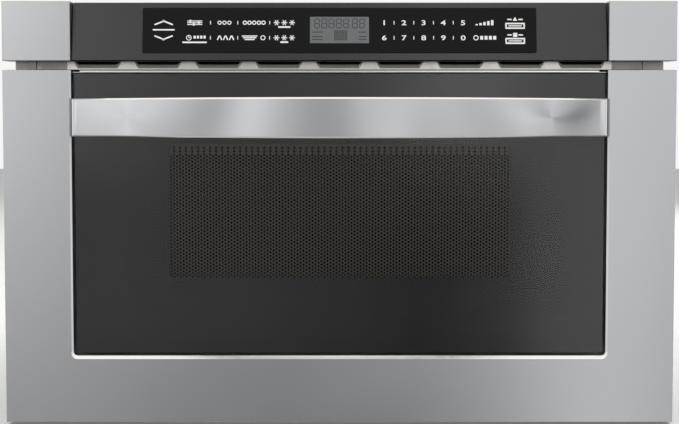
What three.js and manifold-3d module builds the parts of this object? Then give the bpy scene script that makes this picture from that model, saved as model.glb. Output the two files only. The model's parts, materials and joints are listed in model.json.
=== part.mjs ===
// Built-in microwave drawer, 24-inch class: a stainless front that pulls out on telescopic slides,
// driven by a rack and pinion, out of a sheet-metal chassis that holds the oven cavity.
// Millimetres. +X is right, +Y is back into the cabinet, +Z is up. While it is built, y = 0 is the
// front of the door, and the finished model is then shifted so that its origin is the centre of its
// footprint, on the surface it stands on.

import * as THREE from "three";
import { mergeVertices } from "three/addons/utils/BufferGeometryUtils.js";
import Module from "manifold-3d";

const wasm = await Module();
wasm.setup();

// ---------------------------------------------------------------- driving dimensions

// Gaps and sheet
const FIT = 0.3; // clearance between pieces that touch
const SHEET = 1.2; // folded steel sheet of the chassis and the door
const CASE_SHEET = 1.0; // thinner sheet of the outer case
const OVERRUN = 1; // how far a cut, or one joined solid into the next, runs past the face
const ROUND_SIDES = 16; // facets of a small round piece
const SHAFT_SIDES = 12; // facets of a shaft, stud or bulb
const CORNER_STEPS = 3; // facets of a rounded corner

// Front
const FRONT_W = 606;
const FRONT_BOTTOM = 3; // underside of the door above the base
const DOOR_H = 319.4;
const DOOR_T = 38;
const STRIP_H = 8.1; // open strip between the door and the control panel
const PANEL_H = 53.5;
const EDGE_BEVEL = 0.8;

// Chassis
const FRONT_OVERHANG = 24; // front beyond the case, which passes through the cabinet's cut-out
const CHASSIS_TOP_DROP = 12; // case below the top of the control panel
const CHASSIS_D = 588; // behind the cabinet's face
const CHASSIS_BOTTOM = 2; // lower edge of the case above the base
const SEAL_GAP = 1; // air between the closed door and the chassis
const FLANGE_W = 19.5;
const FLANGE_BOTTOM = 8;
const FLANGE_TOP_DROP = 6; // flange below the top of the control panel
const FLANGE_LEG = 20; // leg of the flange that lies along the case
const PAN_LIP_H = 12;

// Door
const STILE_W = 61.5;
const RAIL_H = 60.7;
const SIDE_BEVEL = 1.3;
const RAIL_BEVEL = 2.9;
const BEVEL_DEPTH = 3;
const OPENING_CORNER_R = 3.6;
const GLASS_T = 4;
const GLASS_RECESS = 2; // glass behind the front plane
const GLASS_EDGE_GAP = 1.3;
const GLASS_TOP_DROP = 2.5; // glass below the top of the door
const TRIM_END_INSET = 6.7; // trim short of the glass at each end
const TRIM_H = 1.3;
const TRIM_T = 2.2;
const TRIM_RECESS = 0.6;
const TRIM_GAP = 0.6; // between the glass and the strip over it
const INNER_PANEL_RECESS = 8; // sheet that closes the door's back, before the frame's back edge
const STILE_RETURN_GAP = 0.5; // between the frame's inner wall and that sheet
const TOP_FOLD_GAP = 2; // fold over the glass, behind it

// Window in the door
const SCREEN_HALF_W = 154; // perforated field
const SCREEN_LIFT = 71.5; // field above the bottom of the opening
const SCREEN_DROP = 66.9; // field below the top of the door
const SCREEN_GAP = 2; // screen behind the glass
const SCREEN_SHEET = 0.8;
const SCREEN_BORDER = 6.2;

// Handle
const HANDLE_END_INSET = 0.2; // bar short of the glass at each end
const HANDLE_DROP = 42.6; // middle of the bar below the top of the door
const HANDLE_H_MIDDLE = 36.5;
const HANDLE_H_END = 34.2;
const HANDLE_T = 8;
const HANDLE_BOW = 34;
const HANDLE_END_STAND_OFF = 8; // front of the bar at its ends, before the door
const HANDLE_EDGE = 1.8;
const HANDLE_STATIONS = 24;
const HANDLE_FOOT_INSET = 12; // middle of the foot from the end of the bar
const HANDLE_FOOT_W = 18;
const HANDLE_FOOT_H = 26;
const STUD_R = 4;
const STUD_CLEARANCE = 0.6;

// Control panel
const CAP_EDGE_STEP = 0.3; // cap's inner edge outside the opening's edge
const CAP_SHEET = 1.2;
const FASCIA_RECESS = 5; // bottom edge of the dark panel behind the front plane
const FASCIA_LEAN = THREE.MathUtils.degToRad(10.9);
const FASCIA_LIFT = 0.8; // dark panel above the underside of the caps
const FASCIA_TOP_GAP = 0.85; // dark panel below the top of the caps
const FASCIA_T = 3;
const FASCIA_SIDE_GAP = 0.5;
const TOUCH_HALF_W = 177.7;
const TOUCH_BOTTOM = 6.6; // up the fascia from its lower edge
const TOUCH_TOP_MARGIN = 4.8; // down the fascia from its upper edge
const TOUCH_T = 1;
const TOUCH_R = 1.4;
const LCD_HALF_W = 26.6;
const LCD_BOTTOM = 8.7; // up the touch panel from its lower edge
const LCD_H = 24.5;
const LCD_T = 0.8;
const HOUSING_WALL = 2;
const HOUSING_BACK_PLATE = 2;
const HOUSING_EAR_T = 4.7;
const HOUSING_EAR_GAP = 3.8; // between the ear's end and the cap
const BOARD_T = 1.6;
const BOARD_HALF_W = 110;
const BOARD_FROM_PLATE = 13; // board's front before the chassis plate
const BOARD_MARGIN = 7; // above and below the board in its housing
const BOARD_RELAYS = { xs: [-70, -48, 40, 62], width: 16, height: 20, reach: 6 };
const BOARD_DISPLAY = { height: 25, reach: 5 };
const POST_R = 2.5;
const POST_INSET = 6;
const POST_SIDES = 8;

// Vent strip
const GRILLE_TUCK_BELOW = 3.8; // strip behind the door
const GRILLE_TUCK_ABOVE = 3.1; // strip behind the control panel
const LOUVRE_COUNT = 9;
const LOUVRE_PITCH = 55.7;
const LOUVRE_TOP_W = 44.3;
const LOUVRE_FOOT_W = 33.5;
const LOUVRE_TOP_TUCK = 0.1; // top of the louvre above the control panel's lower edge
const LOUVRE_FOOT_LIFT = 1.8; // foot of the louvre above the door
const LOUVRE_RISE = 4;
const LOUVRE_DEPTH = 5.5;

// Oven cavity
const CAVITY_SIDE_SPACE = 47; // between the cavity and the outside of the case
const CAVITY_OVER_RACK = 1.8;
const CAVITY_TOP_DROP = 37.4; // cavity's roof below the top of the door
const MACHINE_SPACE = 123.2; // behind the cavity
const FEED_Y = 270; // centre of the microwave feed in the roof
const FEED_SHAFT_HOLE_R = 6;

// Drawer
const TRAVEL = 381;
const BOX_SIDE_GAP = 10;
const BOX_LIFT = 8; // box above the cavity's floor
const BOX_TOP_GAP = 23;
const BOX_BACK_GAP = 27;
const BOX_WALL = 1.5;
const BOX_CORNER_R = 12;
const BOX_RIM = 3.5;
const TRAY_SIDE_GAP = 22;
const TRAY_FRONT_GAP = 23.5;
const TRAY_BACK_GAP = 23;
const TRAY_T = 5;
const TRAY_R = 10;
const CHOKE_SIDE_LAP = 20; // ring outside the cavity's mouth
const CHOKE_LOWER_LAP = 16;
const CHOKE_UPPER_LAP = 12;
const CHOKE_SIDE_LAND = 3; // ring inside the cavity's mouth
const CHOKE_LAND = 2;

// Slides: three nested channels a side
const SLIDE_SHEET = 1.5;
const SLIDE_H = 46;
const SLIDE_LIFT = 30; // slides above the cavity's floor
const SLIDE_FRONT_GAP = 1.5; // slides behind the front of the case
const SLIDE_OVERLAP = 59; // channel still held with the drawer fully out
const SLIDE_SIDE_GAP = 5.5; // widest channel from the outside of the case
const SLIDE_DEPTH = 13; // how far its lips reach inwards
const SLIDE_STEP_X = 2.5; // from one channel's web to the next
const SLIDE_STEP_Z = 2; // from one channel's edge to the next
const SLIDE_THICKNESS = 15.5; // all three channels together
const SLIDE_LIP_STEP = 1; // from the widest channel's lip to the next
const SLIDE_PAD_H = 16;
const SLIDE_PAD_L = 20;
const SLIDE_PAD_INSET = 18;
const SLIDE_INNER_SHORT = 4; // how much shorter the inner channel is

// Drive
const GEAR_MODULE = 3;
const GEAR_TEETH = 14;
const GEAR_PRESSURE_ANGLE = THREE.MathUtils.degToRad(20);
const GEAR_ADDENDUM = 0.85; // in modules
const GEAR_DEDENDUM = 1.25; // in modules
const GEAR_BACKLASH = 0.4; // taken off each tooth, on the pitch line
const GEAR_HALF_W = 7;
const PINION_FROM_FRONT = 25.5; // pinion's axis behind the front of the case
const PINION_FLOOR_GAP = 1.25; // between its teeth and the base pan
const RACK_HALF_W = 6;
const RACK_BACKING = 6.25; // bar above the roots of the rack's teeth
const RACK_TEETH_BEFORE = 2; // teeth in front of the pinion with the drawer closed
const MOTOR_SHAFT_R = 4;
const BEARING_GAP = 0.3;
const GEARBOX = { gap: 1, length: 28, before: 18, behind: 20, halfHeight: 18 };
const MOTOR_R = 16;
const MOTOR_SIDES = 20;
const MOTOR_LENGTH = 35;
const MOTOR_PLATE_GAP = 2; // between the pinion and the plate
const MOTOR_PLATE_T = 2;
const MOTOR_SHAFT_CLEARANCE = 2;

// Latches and interlock switches
const HOOK_X = 150;
const HOOK_T = 3;
const HOOK_DROP = 19.4; // underside of the hook below the top of the door
const HOOK_H = 8;
const HOOK_LENGTH = 46.5;
const HOOK_NOSE = 5;
const HOOK_NOSE_L = 9;
const HOOK_WINDOW_HALF_W = 7;
const HOOK_WINDOW_MARGIN = 3;
const PLUNGER_HALF = 2;
const PLUNGER_TRAVEL = 1.5;
const PLUNGER_REACH = 3.7; // plunger in front of its switch
const PLUNGER_LENGTH = 14.5;
const PLUNGER_SIDE_GAP = 0.3;
const SWITCH_HALF_W = 5;
const SWITCH_LENGTH = 28;
const SWITCH_H = 16;
const SWITCH_BRACKET_REACH = 15; // shelf beyond the middle of each switch

// Microwave feed
const GUIDE_HALF_W = 45;
const GUIDE_LEAD = 45; // before the feed
const GUIDE_TAIL = 42; // behind the magnetron's axis
const GUIDE_H = 30;
const GUIDE_SHEET = 1.2;
const MAGNETRON_FROM_REAR = 68.2;
const MAGNETRON_HALF_W = 44;
const MAGNETRON_HALF_D = 40;
const MAGNETRON_H = 48;
const MAGNETRON_FINS = 5;
const MAGNETRON_CORE_R = 18;
const MAGNETRON_WALL = 2;
const MAGNETRON_FIN_INSET = 4;
const MAGNETRON_FIN_T = 1;
const ANTENNA_R = 10;
const ANTENNA_CLEARANCE = 1;
const ANTENNA_REACH = 14;
const STIRRER_DROP = 12; // below the roof
const STIRRER_R = 60;
const STIRRER_BLADES = 4;
const STIRRER_SHAFT_R = 3;
const STIRRER_HUB_R = 8;
const STIRRER_HUB_H = 8;
const STIRRER_BLADE = { width: 26, thickness: 1, root: 4, pitch: THREE.MathUtils.degToRad(16) };
const STIRRER_MOTOR_R = 24;
const STIRRER_MOTOR_H = 17;
const STIRRER_MOTOR_SIDES = 24;
const STIRRER_MOTOR_EAR = { reach: 9, half: 6, thickness: 1.5 };
const STIRRER_COVER_HALF = 75;
const STIRRER_COVER_DROP = 19; // below the roof
const STIRRER_COVER_T = 1.6;
const STIRRER_COVER_POST = { r: 3, inset: 6 };

// Power supply, on the base pan behind the cavity
const TRANSFORMER = { left: 110, right: 210, depth: 85, fromRear: 28.2, height: 62, coil: 13 };
const TRANSFORMER_FOOT = { reach: 8, thickness: 2 };
const WINDING = { inset: 22, width: 24, bottom: 14, height: 36, recess: 1 };
const CAPACITOR = { x: 46, fromRear: 86.2, length: 52, depth: 34, height: 88, flatHalf: 1 };
const TERMINAL = { x: 12, half: 3, thickness: 1, height: 9 };
const DIODE = { x: 30, fromRear: 48.2, r: 4.5, length: 22 };

// Cooling
const FAN_X = -165;
const FAN_BEHIND_MAGNETRON = 6;
const FAN_TOP_GAP = 5; // between its frame and the case
const FAN_BORE_R = 50;
const FAN_BORE_SIDES = 32;
const FAN_R = 47;
const FAN_FRAME_HALF = 54;
const FAN_DEPTH = 25;
const FAN_BLADES = 5;
const FAN_HUB_R = 14;
const FAN_ROOT_DEPTH = 2; // how far a blade goes into the hub
const FAN_TIP_TRIM = 1; // a blade's middle short of the fan's radius, which its corners reach
const FAN_SHAFT_R = 3;
const FAN_MOTOR_L = 36;
const FAN_MOTOR_HALF = 24;
const FAN_MOTOR_RECESS = 1; // motor's body behind the face of its bar
const FAN_SHAFT_END_GAP = 1; // in the hub's bore
const FAN_HUB = { front: 2, back: 22 };
const FAN_BLADE = { chord: 26, thickness: 1.6, pitch: THREE.MathUtils.degToRad(56) };
const FAN_BORE_DEPTH = 17;
const FAN_BAR = { thickness: 6, half: 8 };
const DUCT_WALL = 1.6;
const DUCT_END_GAP = 4; // between the duct and the magnetron

// Small pieces
const GLAND = { fromSide: 74, fromTop: 52, r: 11.5, flangeR: 16, flange: 2.5, bore: 4.7, inside: 10 };
const FILTER_BOARD = { length: 80, fromRear: 18.2, height: 70, fromTop: 52, fromSide: 16 };
const FILTER_COIL = { y: 26, z: 34, r: 15, height: 20 };
const FILTER_CAPACITOR = { from: 50, to: 72, bottom: 14, top: 56, height: 16 };
const CUTOUT = { x: -60, underRoof: 85, r: 9, height: 8 };
const CUTOUT_BLADE = { x: 4, thickness: 0.8, half: 3, length: 18 };
const LAMP = { y: 250, underRoof: 55, r: 9, length: 22 };
const LAMP_HOLDER = { halfY: 18, halfZ: 14, thickness: 3 };
const VENT_SLOTS = { count: 7, pitch: 12, height: 5, halfWidth: 40, fromSide: 89, fromTop: 98 };

// ---------------------------------------------------------------- sizes worked out from them

// Front, from the bottom up and from the outside in
const DOOR_TOP = FRONT_BOTTOM + DOOR_H;
const PANEL_BOTTOM = DOOR_TOP + STRIP_H;
const PANEL_TOP = PANEL_BOTTOM + PANEL_H;
const HALF_FRONT = FRONT_W / 2;
const OPENING_HALF_W = HALF_FRONT - STILE_W;
const OPENING_BOTTOM = FRONT_BOTTOM + RAIL_H;
const GLASS_HALF_W = OPENING_HALF_W - GLASS_EDGE_GAP;
const GLASS_BOTTOM = OPENING_BOTTOM + GLASS_EDGE_GAP;
const GLASS_TOP = DOOR_TOP - GLASS_TOP_DROP;
const GLASS_BACK = GLASS_RECESS + GLASS_T;
const TRIM_HALF_W = GLASS_HALF_W - TRIM_END_INSET;
const HANDLE_HALF_W = GLASS_HALF_W - HANDLE_END_INSET;
const HANDLE_FOOT_X = HANDLE_HALF_W - HANDLE_FOOT_INSET;
const HANDLE_Z = DOOR_TOP - HANDLE_DROP;
const HANDLE_FRONT = -(HANDLE_END_STAND_OFF + HANDLE_BOW);
const CAP_INNER_X = OPENING_HALF_W + CAP_EDGE_STEP;
const HOUSING_EAR_X = HALF_FRONT - CAP_SHEET - HOUSING_EAR_GAP;
const FASCIA_HALF_W = CAP_INNER_X - FASCIA_SIDE_GAP;
const FASCIA_H = (PANEL_H - FASCIA_LIFT - FASCIA_TOP_GAP) / Math.cos(FASCIA_LEAN);
const TOUCH_H = FASCIA_H - TOUCH_BOTTOM - TOUCH_TOP_MARGIN;
const SCREEN_BOTTOM = OPENING_BOTTOM + SCREEN_LIFT;
const SCREEN_TOP = DOOR_TOP - SCREEN_DROP;

// Case, flanges and vent strip
const HALF_CHASSIS = HALF_FRONT - FRONT_OVERHANG;
const CHASSIS_H = PANEL_TOP - CHASSIS_TOP_DROP;
const FLANGE_TOP = PANEL_TOP - FLANGE_TOP_DROP;
const GRILLE_BOTTOM = DOOR_TOP - GRILLE_TUCK_BELOW;
const GRILLE_TOP = PANEL_BOTTOM + GRILLE_TUCK_ABOVE;
const LOUVRE_TOP_Z = PANEL_BOTTOM + LOUVRE_TOP_TUCK;
const LOUVRE_FOOT_Z = DOOR_TOP + LOUVRE_FOOT_LIFT;
const PAN_FLOOR = SHEET + FIT;

// Depths, from the front to the back
const SCREEN_Y = GLASS_BACK + SCREEN_GAP;
const TOP_FOLD_FRONT = GLASS_BACK + TOP_FOLD_GAP;
const INNER_PANEL_Y = DOOR_T - INNER_PANEL_RECESS;
const INNER_PANEL_BACK = INNER_PANEL_Y + SHEET;
const STILE_RETURN_END = INNER_PANEL_Y - STILE_RETURN_GAP;
const DRAWER_FRONT = INNER_PANEL_BACK + FIT; // what the door's inner panel carries starts here
const PLATE_Y = DOOR_T + SEAL_GAP; // front of the chassis plate and of the flanges
const CABINET_Y = PLATE_Y + SHEET; // the cabinet's face
const CASE_FRONT = CABINET_Y + FIT;
const REAR_Y = CABINET_Y + CHASSIS_D;
const CASE_BACK = REAR_Y - SHEET - FIT;
const GLAND_BACK = REAR_Y + FIT + GLAND.flange;
const ORIGIN_Y = (HANDLE_FRONT + GLAND_BACK) / 2;
const BOARD_Y = PLATE_Y - BOARD_FROM_PLATE;

// Drive
const GEAR_PITCH_R = (GEAR_MODULE * GEAR_TEETH) / 2;
const GEAR_PITCH = Math.PI * GEAR_MODULE;
const PINION_Y = CASE_FRONT + PINION_FROM_FRONT;
const PINION_Z = SHEET + PINION_FLOOR_GAP + GEAR_PITCH_R + GEAR_ADDENDUM * GEAR_MODULE;
const RACK_PITCH_Z = PINION_Z + GEAR_PITCH_R;
const RACK_ROOT_Z = RACK_PITCH_Z + GEAR_DEDENDUM * GEAR_MODULE;
const RACK_TOP = RACK_ROOT_Z + RACK_BACKING;
const RACK_TEETH_BEHIND = Math.ceil(TRAVEL / GEAR_PITCH) + 1;
const RACK_BACK = PINION_Y + (RACK_TEETH_BEHIND + 1) * GEAR_PITCH;
const MOTOR_PLATE_X = GEAR_HALF_W + MOTOR_PLATE_GAP;
const GEARBOX_X = MOTOR_PLATE_X + MOTOR_PLATE_T + GEARBOX.gap;
const GEARBOX_TOP = PINION_Z + GEARBOX.halfHeight;

// Cavity, drawer and slides
const CAVITY_HALF_W = HALF_CHASSIS - CAVITY_SIDE_SPACE;
const CAVITY_BOTTOM = RACK_TOP + CAVITY_OVER_RACK + SHEET;
const CAVITY_TOP = DOOR_TOP - CAVITY_TOP_DROP;
const CAVITY_ROOF = CAVITY_TOP + SHEET;
const CAVITY_BACK = REAR_Y - MACHINE_SPACE;
const BOX_HALF_W = CAVITY_HALF_W - BOX_SIDE_GAP;
const BOX_BOTTOM = CAVITY_BOTTOM + BOX_LIFT;
const BOX_TOP = CAVITY_TOP - BOX_TOP_GAP;
const BOX_BACK = CAVITY_BACK - BOX_BACK_GAP;
const SLIDE_BOTTOM = CAVITY_BOTTOM + SLIDE_LIFT;
const SLIDE_FRONT = CASE_FRONT + SLIDE_FRONT_GAP;
const SLIDE_BACK = SLIDE_FRONT + TRAVEL + SLIDE_OVERLAP;
const SLIDE_OUTER_FACE = HALF_CHASSIS - SLIDE_SIDE_GAP; // outside of the widest channel
const SLIDE_INNER_FACE = SLIDE_OUTER_FACE - SLIDE_THICKNESS; // inside of the narrowest channel

// Latches and switches
const HOOK_BOTTOM = DOOR_TOP - HOOK_DROP;
const HOOK_TOP = HOOK_BOTTOM + HOOK_H;
const HOOK_END = DRAWER_FRONT + HOOK_LENGTH;
const SWITCH_FRONT = HOOK_END + FIT + PLUNGER_REACH;
const SWITCH_BRACKET_HALF_W = HOOK_X + SWITCH_BRACKET_REACH;
const PLUNGER_Z = (HOOK_BOTTOM + HOOK_TOP) / 2;

// Feed, cooling and supply
const GUIDE_BOTTOM = CAVITY_ROOF + FIT;
const GUIDE_TOP = GUIDE_BOTTOM + GUIDE_H;
const MAGNETRON_Y = REAR_Y - MAGNETRON_FROM_REAR;
const STIRRER_Z = CAVITY_TOP - STIRRER_DROP;
const STIRRER_COVER_Z = CAVITY_TOP - STIRRER_COVER_DROP;
const FAN_Y = MAGNETRON_Y + FAN_BEHIND_MAGNETRON;
const FAN_Z = CHASSIS_H - CASE_SHEET - FAN_TOP_GAP - FAN_FRAME_HALF;
const GLAND_CENTRE = [HALF_CHASSIS - GLAND.fromSide, CHASSIS_H - GLAND.fromTop];

const FOREVER = 1000; // longer than any piece, for cuts that run right through

// ---------------------------------------------------------------- finishes

const FINISHES = {
  brushedSteel: { color: 0xb9b6b1, roughness: 0.34, metalness: 1 },
  polishedSteel: { color: 0xd6d4d0, roughness: 0.18, metalness: 1 },
  zincSheet: { color: 0xa9abab, roughness: 0.45, metalness: 1 },
  paintedSheet: { color: 0x8b8a87, roughness: 0.5, metalness: 0.2 },
  cavityEnamel: { color: 0xb8b4aa, roughness: 0.4, metalness: 0.1 },
  darkGlass: { color: 0x1a1a1b, roughness: 0.08, metalness: 0 },
  blackPlastic: { color: 0x1d1d1e, roughness: 0.45, metalness: 0 },
  greyPlastic: { color: 0x5c5d5e, roughness: 0.5, metalness: 0 },
  whitePlastic: { color: 0xd9d7d0, roughness: 0.5, metalness: 0 },
  lcdGrey: { color: 0x55595a, roughness: 0.25, metalness: 0 },
  ceramic: { color: 0xe6e2d8, roughness: 0.3, metalness: 0 },
  screenBrown: { color: 0x3a2c24, roughness: 0.5, metalness: 0.3 },
  circuitGreen: { color: 0x1f5a35, roughness: 0.5, metalness: 0 },
  laminations: { color: 0x6a6a6c, roughness: 0.5, metalness: 0.8 },
  aluminium: { color: 0xc9cbcd, roughness: 0.35, metalness: 1 },
};

// ---------------------------------------------------------------- shaping helpers

const AXIS_X = new THREE.Vector3(1, 0, 0);
const AXIS_Y = new THREE.Vector3(0, 1, 0);
const AXIS_Z = new THREE.Vector3(0, 0, 1);

// How an outline lies before it is extruded: YZ along x, XZ along y, XY along z.
const EXTRUDE_FRAMES = {
  x: new THREE.Matrix4().makeBasis(AXIS_Y, AXIS_Z, AXIS_X),
  y: new THREE.Matrix4().makeBasis(AXIS_X, AXIS_Z, AXIS_Y.clone().negate()),
  z: new THREE.Matrix4(),
};

/** A closed geometry as a solid that can be joined and cut. */
function solidOf(geometry) {
  geometry.deleteAttribute("normal");
  geometry.deleteAttribute("uv");
  const merged = mergeVertices(geometry);
  return new wasm.Manifold(
    new wasm.Mesh({
      numProp: 3,
      vertProperties: new Float32Array(merged.attributes.position.array),
      triVerts: new Uint32Array(merged.index.array),
    }),
  );
}

/** A finished solid as a geometry for a mesh. */
function geometryOf(solid) {
  const { vertProperties, triVerts } = solid.getMesh();
  const geometry = new THREE.BufferGeometry();
  geometry.setAttribute("position", new THREE.BufferAttribute(vertProperties, 3));
  geometry.setIndex(new THREE.BufferAttribute(triVerts, 1));
  geometry.computeVertexNormals();
  return geometry;
}

/** Joins solids into one. */
function join(...solids) {
  return solids.reduce((whole, solid) => whole.add(solid));
}

/** Cuts tools out of a solid. */
function cut(solid, ...tools) {
  return tools.reduce((rest, tool) => rest.subtract(tool), solid);
}

/** A rectangular block between the given limits. */
function block([x0, x1], [y0, y1], [z0, z1]) {
  const geometry = new THREE.BoxGeometry(x1 - x0, y1 - y0, z1 - z0);
  geometry.translate((x0 + x1) / 2, (y0 + y1) / 2, (z0 + z1) / 2);
  return solidOf(geometry);
}

/** The points of a circle. */
function circle([u, v], radius, sides = ROUND_SIDES) {
  return Array.from({ length: sides }, (_, index) => {
    const angle = (2 * Math.PI * (index + 0.5)) / sides;
    return [u + radius * Math.cos(angle), v + radius * Math.sin(angle)];
  });
}

/** The points of a rectangle, with rounded corners if a radius is given. */
function rectangle([u0, u1], [v0, v1], radius = 0) {
  if (radius === 0) {
    return [[u0, v0], [u1, v0], [u1, v1], [u0, v1]];
  }
  const centres = [
    [u1 - radius, v1 - radius],
    [u0 + radius, v1 - radius],
    [u0 + radius, v0 + radius],
    [u1 - radius, v0 + radius],
  ];
  return centres.flatMap(([u, v], quarter) =>
    Array.from({ length: CORNER_STEPS + 1 }, (_, step) => {
      const angle = ((quarter + step / CORNER_STEPS) * Math.PI) / 2;
      return [u + radius * Math.cos(angle), v + radius * Math.sin(angle)];
    }),
  );
}

/** A three.js shape from points. */
function shapeOf(points) {
  return new THREE.Shape(points.map(([u, v]) => new THREE.Vector2(u, v)));
}

/** An outline extruded along an axis between two places on it. */
function prism(axis, points, [from, to]) {
  const options = { depth: to - from, bevelEnabled: false };
  const geometry = new THREE.ExtrudeGeometry(shapeOf(points), options);
  geometry.applyMatrix4(EXTRUDE_FRAMES[axis]);
  if (axis === "y") {
    geometry.translate(0, to, 0);
  } else if (axis === "x") {
    geometry.translate(from, 0, 0);
  } else {
    geometry.translate(0, 0, from);
  }
  return solidOf(geometry);
}

/** A round bar along an axis. */
function rod(axis, centre, radius, span, sides = ROUND_SIDES) {
  return prism(axis, circle(centre, radius, sides), span);
}

/** A panel that faces the front, with its front edges bevelled. */
function bevelledPanel(points, [front, back], bevel) {
  const options = {
    depth: back - front,
    bevelThickness: bevel,
    bevelSize: bevel,
    bevelOffset: -bevel,
    bevelSegments: 2,
  };
  const geometry = new THREE.ExtrudeGeometry(shapeOf(points), options);
  geometry.applyMatrix4(EXTRUDE_FRAMES.y);
  geometry.translate(0, back + bevel, 0);
  const beyond = block([-FOREVER, FOREVER], [back, back + FOREVER], [-FOREVER, FOREVER]);
  return solidOf(geometry).subtract(beyond);
}

/** The four places at plus and minus halfU from zero and plus and minus halfV from v. */
function corners(halfU, v, halfV) {
  return [-1, 1].flatMap((signU) => [-1, 1].map((signV) => [signU * halfU, v + signV * halfV]));
}

/** Puts a solid into the model as a named piece. */
function addPiece(group, name, solid, finish, position = [0, 0, 0]) {
  const material = new THREE.MeshStandardMaterial(FINISHES[finish]);
  const mesh = new THREE.Mesh(geometryOf(solid), material);
  mesh.name = name;
  mesh.position.set(...position);
  group.add(mesh);
}

// ---------------------------------------------------------------- chassis

/** Shallow tray that everything stands on. */
function basePan() {
  const half = HALF_CHASSIS - CASE_SHEET - FIT;
  const outside = block([-half, half], [CASE_FRONT, CASE_BACK], [0, PAN_LIP_H]);
  const inside = block(
    [-half + SHEET, half - SHEET],
    [CASE_FRONT + SHEET, CASE_BACK - SHEET],
    [SHEET, FOREVER],
  );
  return cut(outside, inside);
}

/** Top and sides in one folded sheet. */
function outerCase() {
  const outside = block([-HALF_CHASSIS, HALF_CHASSIS], [CASE_FRONT, CASE_BACK], [CHASSIS_BOTTOM, CHASSIS_H]);
  const half = HALF_CHASSIS - CASE_SHEET;
  const inside = block([-half, half], [-FOREVER, FOREVER], [-FOREVER, CHASSIS_H - CASE_SHEET]);
  return cut(outside, inside);
}

/** Back sheet with the exhaust slots and the cord's hole. */
function rearPanel() {
  const sheet = block([-HALF_CHASSIS, HALF_CHASSIS], [REAR_Y - SHEET, REAR_Y], [CHASSIS_BOTTOM, CHASSIS_H]);
  const glandHole = rod("y", GLAND_CENTRE, GLAND.r + FIT, [0, FOREVER]);
  const slotX = VENT_SLOTS.fromSide - HALF_CHASSIS;
  const slots = Array.from({ length: VENT_SLOTS.count }, (_, index) => {
    const bottom = CHASSIS_H - VENT_SLOTS.fromTop + index * VENT_SLOTS.pitch;
    return block(
      [slotX - VENT_SLOTS.halfWidth, slotX + VENT_SLOTS.halfWidth],
      [0, FOREVER],
      [bottom, bottom + VENT_SLOTS.height],
    );
  });
  return cut(sheet, glandHole, ...slots);
}

/** Sheet behind the closed door, with windows for the drawer, slides, rack and hooks. */
function frontPlate() {
  const half = HALF_CHASSIS - FIT;
  const through = [PLATE_Y - OVERRUN, CABINET_Y + OVERRUN];
  const sheet = block([-half, half], [PLATE_Y, CABINET_Y], [CHASSIS_BOTTOM, GRILLE_BOTTOM - FIT]);
  const mouth = block([-CAVITY_HALF_W, CAVITY_HALF_W], through, [CAVITY_BOTTOM, CAVITY_TOP]);
  const rackWindow = block(
    [-2 * RACK_HALF_W, 2 * RACK_HALF_W],
    through,
    [RACK_PITCH_Z - 2 * GEAR_MODULE, RACK_TOP + 2 * FIT],
  );
  const windows = [-1, 1].flatMap((side) => [
    block(
      [side * (SLIDE_INNER_FACE - SLIDE_STEP_X), side * (SLIDE_OUTER_FACE + FIT)].sort((a, b) => a - b),
      through,
      [SLIDE_BOTTOM - SLIDE_STEP_Z, SLIDE_BOTTOM + SLIDE_H + SLIDE_STEP_Z],
    ),
    block(
      [side * HOOK_X - HOOK_WINDOW_HALF_W, side * HOOK_X + HOOK_WINDOW_HALF_W],
      through,
      [HOOK_BOTTOM - HOOK_NOSE - HOOK_WINDOW_MARGIN, HOOK_TOP + HOOK_WINDOW_MARGIN],
    ),
  ]);
  return cut(sheet, mouth, rackWindow, ...windows);
}

/** Mounting flange beside the case, folded back along it. */
function flange(side) {
  const inner = side * (HALF_CHASSIS + FIT);
  const legOuter = side * (HALF_CHASSIS + FIT + SHEET);
  const outer = side * (HALF_CHASSIS + FLANGE_W);
  const points = [
    [inner, PLATE_Y],
    [outer, PLATE_Y],
    [outer, CABINET_Y],
    [legOuter, CABINET_Y],
    [legOuter, CABINET_Y + FLANGE_LEG],
    [inner, CABINET_Y + FLANGE_LEG],
  ];
  return prism("z", points, [FLANGE_BOTTOM, FLANGE_TOP]);
}

/** Strip with pressed louvres: each is cut along its top and pushed in as a ramp with two cheeks. */
function ventGrille() {
  const half = HALF_CHASSIS - FIT;
  const strip = block([-half, half], [PLATE_Y, CABINET_Y], [GRILLE_BOTTOM, GRILLE_TOP]);
  const scoops = [];
  const holes = [];
  for (let index = 0; index < LOUVRE_COUNT; index += 1) {
    const x = (index - (LOUVRE_COUNT - 1) / 2) * LOUVRE_PITCH;
    const foot = LOUVRE_FOOT_W / 2;
    const top = LOUVRE_TOP_W / 2;
    const hole = [
      [x - foot, LOUVRE_FOOT_Z],
      [x + foot, LOUVRE_FOOT_Z],
      [x + top, LOUVRE_TOP_Z],
      [x - top, LOUVRE_TOP_Z],
    ];
    holes.push(prism("y", hole, [PLATE_Y - OVERRUN, CABINET_Y + OVERRUN]));
    const rampEnd = [PLATE_Y + LOUVRE_DEPTH, LOUVRE_FOOT_Z + LOUVRE_RISE];
    const ramp = [
      [PLATE_Y, LOUVRE_FOOT_Z],
      [PLATE_Y, LOUVRE_FOOT_Z - SHEET],
      [CABINET_Y, LOUVRE_FOOT_Z - SHEET],
      [rampEnd[0], rampEnd[1] - SHEET],
      rampEnd,
    ];
    scoops.push(prism("x", ramp, [x - foot - SHEET, x + foot + SHEET]));
    const cheek = [
      [CABINET_Y - SHEET / 2, LOUVRE_FOOT_Z - SHEET],
      rampEnd,
      [CABINET_Y - SHEET / 2, LOUVRE_TOP_Z],
    ];
    scoops.push(prism("x", cheek, [x - foot - SHEET, x - foot]));
    scoops.push(prism("x", cheek, [x + foot, x + foot + SHEET]));
  }
  return join(cut(strip, ...holes), ...scoops);
}

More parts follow.
